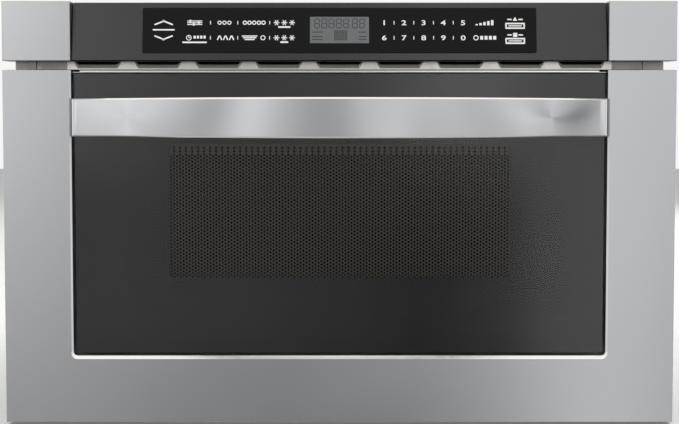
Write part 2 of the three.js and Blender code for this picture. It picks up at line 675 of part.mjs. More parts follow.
/** Enamelled oven cavity, open at the front. */
function cavityShell() {
  const outside = block(
    [-CAVITY_HALF_W - SHEET, CAVITY_HALF_W + SHEET],
    [CASE_FRONT, CAVITY_BACK + SHEET],
    [CAVITY_BOTTOM - SHEET, CAVITY_ROOF],
  );
  const inside = block([-CAVITY_HALF_W, CAVITY_HALF_W], [0, CAVITY_BACK], [CAVITY_BOTTOM, CAVITY_TOP]);
  return cut(outside, inside, feedHole(CAVITY_TOP));
}

/** Clearance hole for the stirrer's shaft. */
function feedHole(bottom) {
  const span = [bottom - OVERRUN, bottom + GUIDE_H + 2 * GUIDE_SHEET];
  return rod("z", [0, FEED_Y], FEED_SHAFT_HOLE_R, span);
}

// ---------------------------------------------------------------- control panel

/** A point of the leaning fascia, given by its depth behind the glass face and its height up it. */
function fasciaPoint(depth, up) {
  const y = FASCIA_RECESS + depth * Math.cos(FASCIA_LEAN) + up * Math.sin(FASCIA_LEAN);
  const z = PANEL_BOTTOM + FASCIA_LIFT - depth * Math.sin(FASCIA_LEAN) + up * Math.cos(FASCIA_LEAN);
  return [y, z];
}

/** Tray behind the fascia, with ears that carry the end caps and a plate that closes the chassis. */
function controlHousing() {
  const half = CAP_INNER_X - 3 * FIT;
  const behindGlass = FASCIA_T + FIT;
  const [frontLowY] = fasciaPoint(behindGlass, 0);
  const [frontHighY] = fasciaPoint(behindGlass, FASCIA_H);
  const back = PLATE_Y - FIT;
  const bottom = PANEL_BOTTOM + FIT;
  const top = PANEL_TOP - FIT;
  const profile = [[frontLowY, bottom], [back, bottom], [back, top], [frontHighY, top]];
  const body = prism("x", profile, [-half, half]);
  const pocket = block(
    [-half + HOUSING_WALL, half - HOUSING_WALL],
    [0, back - HOUSING_WALL],
    [bottom + HOUSING_WALL, top - HOUSING_WALL],
  );
  const ears = block(
    [-HOUSING_EAR_X, HOUSING_EAR_X],
    [back - HOUSING_EAR_T, back],
    [bottom + HOUSING_WALL, top - HOUSING_WALL],
  );
  const plateHalf = HALF_CHASSIS - CASE_SHEET - FIT;
  const plate = block(
    [-plateHalf, plateHalf],
    [back - HOUSING_BACK_PLATE, back + HOUSING_BACK_PLATE],
    [GRILLE_TOP + FIT, CHASSIS_H - CASE_SHEET - FIT],
  );
  return join(cut(join(body, ears), pocket), plate);
}

/** Stainless sleeve over one end of the control panel. */
function endCap(side) {
  const span = (from, to) => (side > 0 ? [from, to] : [-to, -from]);
  const back = PLATE_Y - FIT;
  const outline = rectangle(span(CAP_INNER_X, HALF_FRONT), [PANEL_BOTTOM, PANEL_TOP]);
  const sleeve = bevelledPanel(outline, [0, back], EDGE_BEVEL);
  const hollow = block(
    span(CAP_INNER_X + CAP_SHEET, HALF_FRONT - CAP_SHEET),
    [CAP_SHEET, FOREVER],
    [PANEL_BOTTOM + CAP_SHEET, PANEL_TOP - CAP_SHEET],
  );
  const earNotch = block(
    span(CAP_INNER_X - OVERRUN, CAP_INNER_X + 2 * CAP_SHEET),
    [back - HOUSING_EAR_T - FIT, FOREVER],
    [PANEL_BOTTOM + HOUSING_WALL, PANEL_TOP - HOUSING_WALL],
  );
  return cut(sleeve, hollow, earNotch);
}

/** The leaning fascia: dark panel, touch panel and display, in the fascia's own plane. */
function addFascia(parent) {
  const group = new THREE.Group();
  group.position.set(0, FASCIA_RECESS, PANEL_BOTTOM + FASCIA_LIFT);
  group.rotation.x = -FASCIA_LEAN;
  parent.add(group);
  const glass = block([-FASCIA_HALF_W, FASCIA_HALF_W], [0, FASCIA_T], [0, FASCIA_H]);
  addPiece(group, "fascia_glass", glass, "darkGlass");
  const touchOutline = rectangle(
    [-TOUCH_HALF_W, TOUCH_HALF_W],
    [TOUCH_BOTTOM, TOUCH_BOTTOM + TOUCH_H],
    TOUCH_R,
  );
  const lcdBottom = TOUCH_BOTTOM + LCD_BOTTOM;
  const pocket = block(
    [-LCD_HALF_W - FIT, LCD_HALF_W + FIT],
    [-FOREVER, FOREVER],
    [lcdBottom - FIT, lcdBottom + LCD_H + FIT],
  );
  const touch = cut(prism("y", touchOutline, [-FIT - TOUCH_T, -FIT]), pocket);
  addPiece(group, "touch_panel", touch, "blackPlastic");
  const lcd = block([-LCD_HALF_W, LCD_HALF_W], [-FIT - LCD_T, -FIT], [lcdBottom, lcdBottom + LCD_H]);
  addPiece(group, "lcd_display", lcd, "lcdGrey");
}

/** Circuit board with its display block, relays and transformer, on posts. */
function controlBoard() {
  const bottom = PANEL_BOTTOM + BOARD_MARGIN;
  const top = PANEL_TOP - BOARD_MARGIN;
  const middle = (bottom + top) / 2;
  const behind = BOARD_Y + BOARD_T;
  const board = block([-BOARD_HALF_W, BOARD_HALF_W], [BOARD_Y, behind], [bottom, top]);
  const display = block(
    [-LCD_HALF_W, LCD_HALF_W],
    [BOARD_Y - BOARD_DISPLAY.reach, behind],
    [middle - BOARD_DISPLAY.height / 2, middle + BOARD_DISPLAY.height / 2],
  );
  const relays = BOARD_RELAYS.xs.map((x) =>
    block(
      [x, x + BOARD_RELAYS.width],
      [BOARD_Y, behind + BOARD_RELAYS.reach],
      [middle - BOARD_RELAYS.height / 2, middle + BOARD_RELAYS.height / 2],
    ),
  );
  const postEnd = PLATE_Y - 2 * FIT - HOUSING_WALL;
  const posts = corners(BOARD_HALF_W - POST_INSET, middle, (top - bottom) / 2 - POST_INSET).map((centre) =>
    rod("y", centre, POST_R, [BOARD_Y, postEnd], POST_SIDES),
  );
  return join(board, display, ...relays, ...posts);
}

// ---------------------------------------------------------------- door

/** U of folded stainless: two stiles and a rail, bevelled towards the glass, hollow behind. */
function doorFrame() {
  const outline = rectangle([-HALF_FRONT, HALF_FRONT], [FRONT_BOTTOM, DOOR_TOP]);
  const slab = bevelledPanel(outline, [0, DOOR_T], EDGE_BEVEL);
  const openingOutline = rectangle(
    [-OPENING_HALF_W, OPENING_HALF_W],
    [OPENING_BOTTOM, DOOR_TOP + 2 * OPENING_CORNER_R],
    OPENING_CORNER_R,
  );
  const opening = prism("y", openingOutline, [-OVERRUN, DOOR_T + OVERRUN]);
  const sideBevels = [-1, 1].map((side) => {
    const wedge = [
      [side * (OPENING_HALF_W + SIDE_BEVEL), 0],
      [side * OPENING_HALF_W, BEVEL_DEPTH],
      [side * (OPENING_HALF_W - OVERRUN), BEVEL_DEPTH],
      [side * (OPENING_HALF_W - OVERRUN), -OVERRUN],
      [side * (OPENING_HALF_W + SIDE_BEVEL), -OVERRUN],
    ];
    return prism("z", wedge, [OPENING_BOTTOM, FOREVER]);
  });
  const railWedge = [
    [0, OPENING_BOTTOM - RAIL_BEVEL],
    [BEVEL_DEPTH, OPENING_BOTTOM],
    [BEVEL_DEPTH, OPENING_BOTTOM + OVERRUN],
    [-OVERRUN, OPENING_BOTTOM + OVERRUN],
    [-OVERRUN, OPENING_BOTTOM - RAIL_BEVEL],
  ];
  const railBevel = prism("x", railWedge, [-OPENING_HALF_W, OPENING_HALF_W]);
  const shell = cut(slab, opening, ...sideBevels, railBevel);
  const wall = SHEET;
  const behindStile = (side) => {
    const xs = [side * (OPENING_HALF_W + wall + SIDE_BEVEL), side * (HALF_FRONT - wall)];
    return block(xs.sort((a, b) => a - b), [wall, FOREVER], [FRONT_BOTTOM + wall, DOOR_TOP - wall]);
  };
  const behindRail = block(
    [-HALF_FRONT + wall, HALF_FRONT - wall],
    [wall, FOREVER],
    [FRONT_BOTTOM + wall, OPENING_BOTTOM - RAIL_BEVEL - wall],
  );
  const behindReturn = block(
    [-HALF_FRONT + wall, HALF_FRONT - wall],
    [STILE_RETURN_END, FOREVER],
    [FRONT_BOTTOM + wall, DOOR_TOP - wall],
  );
  return cut(shell, behindStile(-1), behindStile(1), behindRail, behindReturn);
}

/** Clearance holes for the handle's studs, through the glass and the inner panel. */
function studHoles() {
  const radius = STUD_R + STUD_CLEARANCE;
  return [-1, 1].map((side) =>
    rod("y", [side * HANDLE_FOOT_X, HANDLE_Z], radius, [-OVERRUN, DOOR_T], SHAFT_SIDES),
  );
}

function doorGlass() {
  const pane = block([-GLASS_HALF_W, GLASS_HALF_W], [GLASS_RECESS, GLASS_BACK], [GLASS_BOTTOM, GLASS_TOP]);
  return cut(pane, ...studHoles());
}

function glassTopTrim() {
  const bottom = GLASS_TOP + TRIM_GAP;
  return block([-TRIM_HALF_W, TRIM_HALF_W], [TRIM_RECESS, TRIM_RECESS + TRIM_T], [bottom, bottom + TRIM_H]);
}

/** Sheet that closes the door's back, with a window for the screen and a fold over the glass. */
function doorInnerPanel() {
  const half = HALF_FRONT - SHEET - FIT;
  const top = DOOR_TOP - SHEET - FIT;
  const sheet = block([-half, half], [INNER_PANEL_Y, INNER_PANEL_BACK], [FRONT_BOTTOM + SHEET + FIT, top]);
  const foldHalf = OPENING_HALF_W - 2 * FIT;
  const fold = block([-foldHalf, foldHalf], [TOP_FOLD_FRONT, INNER_PANEL_BACK], [top - SHEET, top]);
  const border = SCREEN_BORDER + FIT;
  const window = block(
    [-SCREEN_HALF_W - border, SCREEN_HALF_W + border],
    [INNER_PANEL_Y - OVERRUN, INNER_PANEL_BACK + OVERRUN],
    [SCREEN_BOTTOM - border, SCREEN_TOP + border],
  );
  return cut(join(sheet, fold), window, ...studHoles());
}

/** Drawn pan behind the glass whose face is the perforated field. */
function perforatedScreen() {
  const outer = (inset) => [
    [-SCREEN_HALF_W - SCREEN_BORDER + inset, SCREEN_HALF_W + SCREEN_BORDER - inset],
    [SCREEN_BOTTOM - SCREEN_BORDER + inset, SCREEN_TOP + SCREEN_BORDER - inset],
  ];
  const [pans, heights] = outer(0);
  const [insidePans, insideHeights] = outer(SCREEN_SHEET);
  return cut(
    block(pans, [SCREEN_Y, INNER_PANEL_BACK], heights),
    block(insidePans, [SCREEN_Y + SCREEN_SHEET, FOREVER], insideHeights),
  );
}

/** Ring that seals the microwaves in, round the drawer box. */
function chokeCover() {
  const outerHalf = CAVITY_HALF_W + CHOKE_SIDE_LAP;
  const innerHalf = CAVITY_HALF_W - CHOKE_SIDE_LAND;
  const ring = block(
    [-outerHalf, outerHalf],
    [DRAWER_FRONT, DOOR_T],
    [CAVITY_BOTTOM - CHOKE_LOWER_LAP, CAVITY_TOP + CHOKE_UPPER_LAP],
  );
  const opening = block(
    [-innerHalf, innerHalf],
    [0, DOOR_T + OVERRUN],
    [CAVITY_BOTTOM + CHOKE_LAND, CAVITY_TOP - CHOKE_LAND],
  );
  const rackNotch = block(
    [-2 * RACK_HALF_W, 2 * RACK_HALF_W],
    [0, DOOR_T + OVERRUN],
    [0, RACK_TOP + 2 * FIT],
  );
  return cut(ring, opening, rackNotch);
}

/** How far forward the front of the handle stands at x. */
function handleFront(x) {
  const share = x / HANDLE_HALF_W;
  return HANDLE_FRONT + HANDLE_BOW * share * share;
}

/** Bowed bar with bevelled edges, a little taller in its middle. */
function handleBar() {
  const halfH = HANDLE_H_MIDDLE / 2;
  const section = [
    [0, -halfH + HANDLE_EDGE],
    [HANDLE_EDGE, -halfH],
    [HANDLE_T, -halfH],
    [HANDLE_T, halfH],
    [HANDLE_EDGE, halfH],
    [0, halfH - HANDLE_EDGE],
  ];
  const options = { depth: 2 * HANDLE_HALF_W, steps: HANDLE_STATIONS, bevelEnabled: false };
  const geometry = new THREE.ExtrudeGeometry(shapeOf(section), options);
  geometry.applyMatrix4(EXTRUDE_FRAMES.x);
  geometry.translate(-HANDLE_HALF_W, 0, 0);
  const points = geometry.attributes.position;
  for (let index = 0; index < points.count; index += 1) {
    const x = points.getX(index);
    const share = x / HANDLE_HALF_W;
    const height = THREE.MathUtils.lerp(HANDLE_H_MIDDLE, HANDLE_H_END, share * share);
    points.setY(index, points.getY(index) + handleFront(x));
    points.setZ(index, HANDLE_Z + (points.getZ(index) * height) / HANDLE_H_MIDDLE);
  }
  return solidOf(geometry);
}

/** Foot between the handle and the glass, with the stud that goes through to the inner panel. */
function handleMount(side) {
  const near = side * (HANDLE_FOOT_X - HANDLE_FOOT_W / 2);
  const far = side * (HANDLE_FOOT_X + HANDLE_FOOT_W / 2);
  const barBack = (x) => handleFront(x) + HANDLE_T + FIT;
  const base = GLASS_RECESS - FIT;
  const plan = [[near, barBack(near)], [far, barBack(far)], [far, base], [near, base]];
  const z = [HANDLE_Z - HANDLE_FOOT_H / 2, HANDLE_Z + HANDLE_FOOT_H / 2];
  const stud = rod("y", [side * HANDLE_FOOT_X, HANDLE_Z], STUD_R, [0, INNER_PANEL_BACK], SHAFT_SIDES);
  return join(prism("z", plan, z), stud);
}

// ---------------------------------------------------------------- drawer

/** Tub that holds the food: rounded corners, a rim, and a window towards the door's screen. */
function drawerBox() {
  const outline = (inset) =>
    rectangle(
      [-BOX_HALF_W + inset, BOX_HALF_W - inset],
      [DRAWER_FRONT + inset, BOX_BACK - inset],
      BOX_CORNER_R - inset,
    );
  const tub = cut(
    prism("z", outline(0), [BOX_BOTTOM, BOX_TOP]),
    prism("z", outline(BOX_WALL), [BOX_BOTTOM + BOX_WALL, FOREVER]),
  );
  const rimOutline = rectangle(
    [-BOX_HALF_W - BOX_RIM, BOX_HALF_W + BOX_RIM],
    [DRAWER_FRONT, BOX_BACK + BOX_RIM],
    BOX_CORNER_R,
  );
  const rim = cut(
    prism("z", rimOutline, [BOX_TOP - BOX_WALL, BOX_TOP]),
    prism("z", outline(BOX_WALL / 2), [0, FOREVER]),
  );
  const window = block(
    [-SCREEN_HALF_W, SCREEN_HALF_W],
    [0, DRAWER_FRONT + 2 * BOX_WALL],
    [SCREEN_BOTTOM, SCREEN_TOP],
  );
  return cut(join(tub, rim), window);
}

function ceramicTray() {
  const bottom = BOX_BOTTOM + BOX_WALL + FIT;
  const half = BOX_HALF_W - TRAY_SIDE_GAP;
  const outline = rectangle([-half, half], [DRAWER_FRONT + TRAY_FRONT_GAP, BOX_BACK - TRAY_BACK_GAP], TRAY_R);
  return prism("z", outline, [bottom, bottom + TRAY_T]);
}

// ---------------------------------------------------------------- slides

/** One channel of a slide: a web with two lips, for the left or the right side. */
function channel(side, web, lip, inset, [front, back]) {
  const webInner = web - Math.sign(web - lip) * SLIDE_SHEET;
  const bottom = SLIDE_BOTTOM + inset;
  const top = SLIDE_BOTTOM + SLIDE_H - inset;
  const points = [
    [side * web, bottom],
    [side * lip, bottom],
    [side * lip, bottom + SLIDE_SHEET],
    [side * webInner, bottom + SLIDE_SHEET],
    [side * webInner, top - SLIDE_SHEET],
    [side * lip, top - SLIDE_SHEET],
    [side * lip, top],
    [side * web, top],
  ];
  return prism("y", points, [front, back]);
}

/** Channel fixed in the chassis, on two pads. */
function slideOuter(side) {
  const body = channel(side, SLIDE_OUTER_FACE, SLIDE_OUTER_FACE - SLIDE_DEPTH, 0, [SLIDE_FRONT, SLIDE_BACK]);
  const middle = SLIDE_BOTTOM + SLIDE_H / 2;
  const xs = [side * (SLIDE_OUTER_FACE - SLIDE_SHEET / 2), side * (HALF_CHASSIS - CASE_SHEET - FIT)];
  const pads = [SLIDE_FRONT + SLIDE_PAD_INSET, SLIDE_BACK - SLIDE_PAD_INSET - SLIDE_PAD_L].map((y) =>
    block(
      [...xs].sort((a, b) => a - b),
      [y, y + SLIDE_PAD_L],
      [middle - SLIDE_PAD_H / 2, middle + SLIDE_PAD_H / 2],
    ),
  );
  return join(body, ...pads);
}

function slideMiddle(side) {
  const web = SLIDE_OUTER_FACE - SLIDE_STEP_X;
  const lip = SLIDE_OUTER_FACE - SLIDE_DEPTH - SLIDE_LIP_STEP;
  return channel(side, web, lip, SLIDE_STEP_Z, [SLIDE_FRONT, SLIDE_BACK]);
}

/** Channel fixed to the door's inner panel, open towards the others. */
function slideInner(side) {
  const lip = SLIDE_OUTER_FACE - 2 * SLIDE_STEP_X + FIT;
  const span = [DRAWER_FRONT, SLIDE_BACK - SLIDE_INNER_SHORT];
  return channel(side, SLIDE_INNER_FACE, lip, 2 * SLIDE_STEP_Z, span);
}

// ---------------------------------------------------------------- drive

/** Toothed rack under the drawer, teeth down. */
function driveRack() {
  const halfTooth = GEAR_PITCH / 4 - GEAR_BACKLASH / 2;
  const slope = Math.tan(GEAR_PRESSURE_ANGLE);
  const tip = RACK_PITCH_Z - GEAR_ADDENDUM * GEAR_MODULE;
  const root = RACK_ROOT_Z;
  const halfTip = halfTooth - (RACK_PITCH_Z - tip) * slope;
  const halfRoot = halfTooth + (root - RACK_PITCH_Z) * slope;
  const points = [[DRAWER_FRONT, RACK_TOP], [DRAWER_FRONT, root]];
  for (let tooth = -RACK_TEETH_BEFORE; tooth <= RACK_TEETH_BEHIND; tooth += 1) {
    const y = PINION_Y + tooth * GEAR_PITCH;
    points.push([y - halfRoot, root], [y - halfTip, tip], [y + halfTip, tip], [y + halfRoot, root]);
  }
  points.push([RACK_BACK, root], [RACK_BACK, RACK_TOP]);
  return prism("x", points, [-RACK_HALF_W, RACK_HALF_W]);
}

/** Involute pinion on the motor's shaft, with a gap between teeth straight up. */
function drivePinion() {
  const baseR = GEAR_PITCH_R * Math.cos(GEAR_PRESSURE_ANGLE);
  const tipR = GEAR_PITCH_R + GEAR_ADDENDUM * GEAR_MODULE;
  const rootR = GEAR_PITCH_R - GEAR_DEDENDUM * GEAR_MODULE;
  const involute = (radius) => {
    const angle = Math.acos(Math.min(1, baseR / radius));
    return Math.tan(angle) - angle;
  };
  const halfAtPitch = Math.PI / (2 * GEAR_TEETH) - GEAR_BACKLASH / 2 / GEAR_PITCH_R;
  const halfAngle = (radius) => halfAtPitch + involute(GEAR_PITCH_R) - involute(Math.max(radius, baseR));
  const radii = [rootR, baseR, GEAR_PITCH_R, tipR];
  const points = [];
  for (let tooth = 0; tooth < GEAR_TEETH; tooth += 1) {
    const centre = Math.PI / 2 + ((tooth + 0.5) * 2 * Math.PI) / GEAR_TEETH;
    const flank = (sign) =>
      radii.map((radius) => {
        const angle = centre + sign * halfAngle(radius);
        return [radius * Math.cos(angle), radius * Math.sin(angle)];
      });
    points.push(...flank(-1), ...flank(1).reverse());
  }
  const bore = rod("x", [0, 0], MOTOR_SHAFT_R + BEARING_GAP, [-FOREVER, FOREVER]);
  return cut(prism("x", points, [-GEAR_HALF_W, GEAR_HALF_W]), bore);
}

/** Gearbox and motor, with the shaft that carries the pinion. */
function gearMotor() {
  const boxEnd = GEARBOX_X + GEARBOX.length;
  const axis = [PINION_Y, PINION_Z];
  const box = block(
    [GEARBOX_X, boxEnd],
    [PINION_Y - GEARBOX.before, PINION_Y + GEARBOX.behind],
    [PINION_Z - GEARBOX.halfHeight, GEARBOX_TOP],
  );
  const motor = rod("x", axis, MOTOR_R, [boxEnd - OVERRUN, boxEnd + MOTOR_LENGTH], MOTOR_SIDES);
  const shaft = rod("x", axis, MOTOR_SHAFT_R, [-GEAR_HALF_W - OVERRUN, GEARBOX_X + OVERRUN]);
  return join(box, motor, shaft);
}

/** Angle plate that holds the gearbox on the base pan. */
function motorBracket() {
  const ys = [PINION_Y - GEARBOX.before, PINION_Y + GEARBOX.behind];
  const plate = block([MOTOR_PLATE_X, MOTOR_PLATE_X + MOTOR_PLATE_T], ys, [PAN_FLOOR, GEARBOX_TOP]);
  const footXs = [MOTOR_PLATE_X, GEARBOX_X + GEARBOX.length];
  const foot = block(footXs, ys, [PAN_FLOOR, PAN_FLOOR + MOTOR_PLATE_T]);
  const shaftHole = rod("x", [PINION_Y, PINION_Z], MOTOR_SHAFT_R + MOTOR_SHAFT_CLEARANCE, [0, FOREVER]);
  const upper = cut(plate, shaftHole);
  return join(upper, foot);
}

// ---------------------------------------------------------------- latches and switches

/** Hook on the door, seen from the side: an arm with a nose under its end. */
function latchHook(x) {
  const profile = [
    [DRAWER_FRONT, HOOK_BOTTOM - HOOK_NOSE],
    [DRAWER_FRONT + HOOK_T, HOOK_BOTTOM - HOOK_NOSE],
    [DRAWER_FRONT + HOOK_T, HOOK_BOTTOM],
    [HOOK_END - HOOK_NOSE_L, HOOK_BOTTOM],
    [HOOK_END - HOOK_NOSE_L, HOOK_BOTTOM - HOOK_NOSE],
    [HOOK_END, HOOK_BOTTOM],
    [HOOK_END, HOOK_TOP],
    [DRAWER_FRONT, HOOK_TOP],
  ];
  return prism("x", profile, [x - HOOK_T / 2, x + HOOK_T / 2]);
}

/** Microswitch with a pocket for its plunger. */
function interlockSwitch(x) {
  const body = block(
    [x - SWITCH_HALF_W, x + SWITCH_HALF_W],
    [SWITCH_FRONT, SWITCH_FRONT + SWITCH_LENGTH],
    [PLUNGER_Z - SWITCH_H / 2, PLUNGER_Z + SWITCH_H / 2],
  );
  const half = PLUNGER_HALF + PLUNGER_SIDE_GAP;
  const pocketEnd = HOOK_END + FIT + PLUNGER_LENGTH + 2 * PLUNGER_TRAVEL;
  const pocket = block([x - half, x + half], [0, pocketEnd], [PLUNGER_Z - half, PLUNGER_Z + half]);
  return cut(body, pocket);
}

function switchPlunger(x) {
  const front = HOOK_END + FIT;
  return block(
    [x - PLUNGER_HALF, x + PLUNGER_HALF],
    [front, front + PLUNGER_LENGTH],
    [PLUNGER_Z - PLUNGER_HALF, PLUNGER_Z + PLUNGER_HALF],
  );
}

/** Shelf over the cavity that carries the switches. */
function switchBracket() {
  const top = PLUNGER_Z - SWITCH_H / 2 - FIT;
  const ys = [SWITCH_FRONT, SWITCH_FRONT + SWITCH_LENGTH];
  const shelf = block([-SWITCH_BRACKET_HALF_W, SWITCH_BRACKET_HALF_W], ys, [top - SHEET, top]);
  const legs = [-SWITCH_BRACKET_HALF_W, SWITCH_BRACKET_HALF_W - SHEET].map((x) =>
    block([x, x + SHEET], ys, [CAVITY_ROOF + FIT, top]),
  );
  return join(shelf, ...legs);
}

// ---------------------------------------------------------------- microwave feed

/** Box duct that leads the microwaves from the magnetron to the cavity's roof. */
function waveguide() {
  const [front, back] = [FEED_Y - GUIDE_LEAD, MAGNETRON_Y + GUIDE_TAIL];
  const outside = block([-GUIDE_HALF_W, GUIDE_HALF_W], [front, back], [GUIDE_BOTTOM, GUIDE_TOP]);
  const inside = block(
    [-GUIDE_HALF_W + GUIDE_SHEET, GUIDE_HALF_W - GUIDE_SHEET],
    [front + GUIDE_SHEET, back - GUIDE_SHEET],
    [GUIDE_BOTTOM + GUIDE_SHEET, GUIDE_TOP - GUIDE_SHEET],
  );
  const antennaHole = rod(
    "z",
    [0, MAGNETRON_Y],
    ANTENNA_R + ANTENNA_CLEARANCE,
    [GUIDE_TOP - 2 * GUIDE_SHEET, FOREVER],
  );
  return cut(outside, inside, feedHole(GUIDE_BOTTOM), antennaHole);
}

/** Magnetron: flanges, yoke, cooling fins round its core, and the antenna down into the guide. */
function magnetron() {
  const bottom = GUIDE_TOP + FIT;
  const top = bottom + MAGNETRON_H;
  const wall = MAGNETRON_WALL;
  const xs = [-MAGNETRON_HALF_W, MAGNETRON_HALF_W];
  const [front, back] = [MAGNETRON_Y - MAGNETRON_HALF_D, MAGNETRON_Y + MAGNETRON_HALF_D];
  const plates = [bottom, top - wall].map((z) => block(xs, [front, back], [z, z + wall]));
  const yokes = [front, back - wall].map((y) => block(xs, [y, y + wall], [bottom, top]));
  const core = rod("z", [0, MAGNETRON_Y], MAGNETRON_CORE_R, [bottom, top]);
  const pitch = MAGNETRON_H / (MAGNETRON_FINS + 1);
  const finXs = [-MAGNETRON_HALF_W + MAGNETRON_FIN_INSET, MAGNETRON_HALF_W - MAGNETRON_FIN_INSET];
  const fins = Array.from({ length: MAGNETRON_FINS }, (_, index) => {
    const z = bottom + (index + 1) * pitch;
    return block(finXs, [front, back], [z, z + MAGNETRON_FIN_T]);
  });
  const antenna = rod("z", [0, MAGNETRON_Y], ANTENNA_R, [GUIDE_TOP - ANTENNA_REACH, bottom + wall]);
  return join(...plates, ...yokes, core, ...fins, antenna);
}

/** Vanes under the roof on a shaft that goes up through the guide. */
function stirrerAntenna() {
  const { width, thickness, root, pitch } = STIRRER_BLADE;
  const hub = rod("z", [0, 0], STIRRER_HUB_R, [0, STIRRER_HUB_H]);
  const shaft = rod("z", [0, 0], STIRRER_SHAFT_R, [0, GUIDE_TOP - STIRRER_Z], SHAFT_SIDES);
  const blades = Array.from({ length: STIRRER_BLADES }, (_, index) => {
    const geometry = new THREE.BoxGeometry(STIRRER_R - root, width, thickness);
    geometry.translate((STIRRER_R + root) / 2, 0, 0);
    geometry.rotateX(pitch);
    geometry.translate(0, 0, STIRRER_HUB_H / 2);
    geometry.rotateZ((2 * Math.PI * index) / STIRRER_BLADES);
    return solidOf(geometry);
  });
  return join(hub, shaft, ...blades);
}

/** Round motor with two ears, on top of the guide. */
function stirrerMotor() {
  const { reach, half, thickness } = STIRRER_MOTOR_EAR;
  const bottom = GUIDE_TOP + FIT;
  const heights = [bottom, bottom + STIRRER_MOTOR_H];
  const body = rod("z", [0, FEED_Y], STIRRER_MOTOR_R, heights, STIRRER_MOTOR_SIDES);
  const earHalf = STIRRER_MOTOR_R + reach;
  const ears = block([-earHalf, earHalf], [FEED_Y - half, FEED_Y + half], [bottom, bottom + thickness]);
  return join(body, ears);
}

/** Plate under the stirrer, on four posts that clip into the roof. */
function stirrerCover() {
  const half = STIRRER_COVER_HALF;
  const z = [STIRRER_COVER_Z, STIRRER_COVER_Z + STIRRER_COVER_T];
  const plate = block([-half, half], [FEED_Y - half, FEED_Y + half], z);
  const inset = half - STIRRER_COVER_POST.inset;
  const posts = corners(inset, FEED_Y, inset).map((centre) =>
    rod("z", centre, STIRRER_COVER_POST.r, [STIRRER_COVER_Z, CAVITY_TOP - FIT], POST_SIDES),
  );
  return join(plate, ...posts);
}

// ---------------------------------------------------------------- power supply

/** Laminated core with two windings round its middle limb, on a foot plate. */
function hvTransformer() {
  const { left, right, depth, fromRear, height, coil } = TRANSFORMER;
  const { reach, thickness } = TRANSFORMER_FOOT;
  const back = REAR_Y - fromRear;
  const front = back - depth;
  const foot = block([left - reach, right + reach], [front, back], [PAN_FLOOR, PAN_FLOOR + thickness]);
  const stack = block([left, right], [front + coil, back - coil], [PAN_FLOOR, PAN_FLOOR + height]);
  const windingZ = [PAN_FLOOR + WINDING.bottom, PAN_FLOOR + WINDING.bottom + WINDING.height];
  const windings = [left + WINDING.inset, right - WINDING.inset - WINDING.width].map((x) =>
    block([x, x + WINDING.width], [front + WINDING.recess, back - WINDING.recess], windingZ),
  );
  return join(foot, stack, ...windings);
}

/** Oval can with two terminals. */
function hvCapacitor() {
  const { x, fromRear, length, depth, height, flatHalf } = CAPACITOR;
  const y = REAR_Y - fromRear;
  const top = PAN_FLOOR + height;
  const endR = depth / 2 - flatHalf;
  const outline = rectangle([x - length / 2, x + length / 2], [y - depth / 2, y + depth / 2], endR);
  const can = prism("z", outline, [PAN_FLOOR, top]);
  const terminals = [x - TERMINAL.x, x + TERMINAL.x].map((centre) =>
    block(
      [centre - TERMINAL.half, centre + TERMINAL.half],
      [y - TERMINAL.thickness / 2, y + TERMINAL.thickness / 2],
      [top - OVERRUN, top + TERMINAL.height],
    ),
  );
  return join(can, ...terminals);
}

function hvDiode() {
  const centre = [REAR_Y - DIODE.fromRear, PAN_FLOOR + DIODE.r];
  return rod("x", centre, DIODE.r, [DIODE.x, DIODE.x + DIODE.length], SHAFT_SIDES);
}

// ---------------------------------------------------------------- cooling

/** Square frame with a round bore for the fan. */
function fanShroud() {
  const frame = block(
    [FAN_X, FAN_X + FAN_DEPTH],
    [FAN_Y - FAN_FRAME_HALF, FAN_Y + FAN_FRAME_HALF],
    [FAN_Z - FAN_FRAME_HALF, FAN_Z + FAN_FRAME_HALF],
  );
  return cut(frame, rod("x", [FAN_Y, FAN_Z], FAN_BORE_R, [-FOREVER, FOREVER], FAN_BORE_SIDES));
}

/** Hub and blades, round their own axis along x. */
function fanBlade() {
  const { chord, thickness, pitch } = FAN_BLADE;
  const inner = FAN_HUB_R - FAN_ROOT_DEPTH;
  const outer = FAN_R - FAN_TIP_TRIM;
  const hub = rod("x", [0, 0], FAN_HUB_R, [FAN_HUB.front, FAN_HUB.back]);
  const blades = Array.from({ length: FAN_BLADES }, (_, index) => {
    const geometry = new THREE.BoxGeometry(thickness, chord, outer - inner);
    geometry.translate(0, 0, (inner + outer) / 2);
    geometry.rotateZ(pitch);
    geometry.translate(FAN_DEPTH / 2, 0, 0);
    geometry.rotateX((2 * Math.PI * index) / FAN_BLADES);
    return solidOf(geometry);
  });
  const bore = rod("x", [0, 0], FAN_SHAFT_R + BEARING_GAP, [-OVERRUN, FAN_BORE_DEPTH], SHAFT_SIDES);
  return cut(join(hub, ...blades), bore);
}

/** Shaded-pole motor on a cross bar, with its shaft into the fan's hub. */
function fanMotor() {
  const end = FAN_X - FIT;
  const half = FAN_MOTOR_HALF;
  const [ys, zs] = [FAN_Y, FAN_Z].map((centre) => [centre - half, centre + half]);
  const body = block([end - FAN_MOTOR_L, end - FAN_MOTOR_RECESS], ys, zs);
  const bar = block(
    [end - FAN_BAR.thickness, end],
    [FAN_Y - FAN_BAR.half, FAN_Y + FAN_BAR.half],
    [FAN_Z - FAN_FRAME_HALF, FAN_Z + FAN_FRAME_HALF],
  );
  const shaftEnd = FAN_X + FAN_BORE_DEPTH - FAN_SHAFT_END_GAP;
  const shaft = rod("x", [FAN_Y, FAN_Z], FAN_SHAFT_R, [end - FAN_MOTOR_RECESS, shaftEnd], SHAFT_SIDES);
  return join(body, bar, shaft);
}

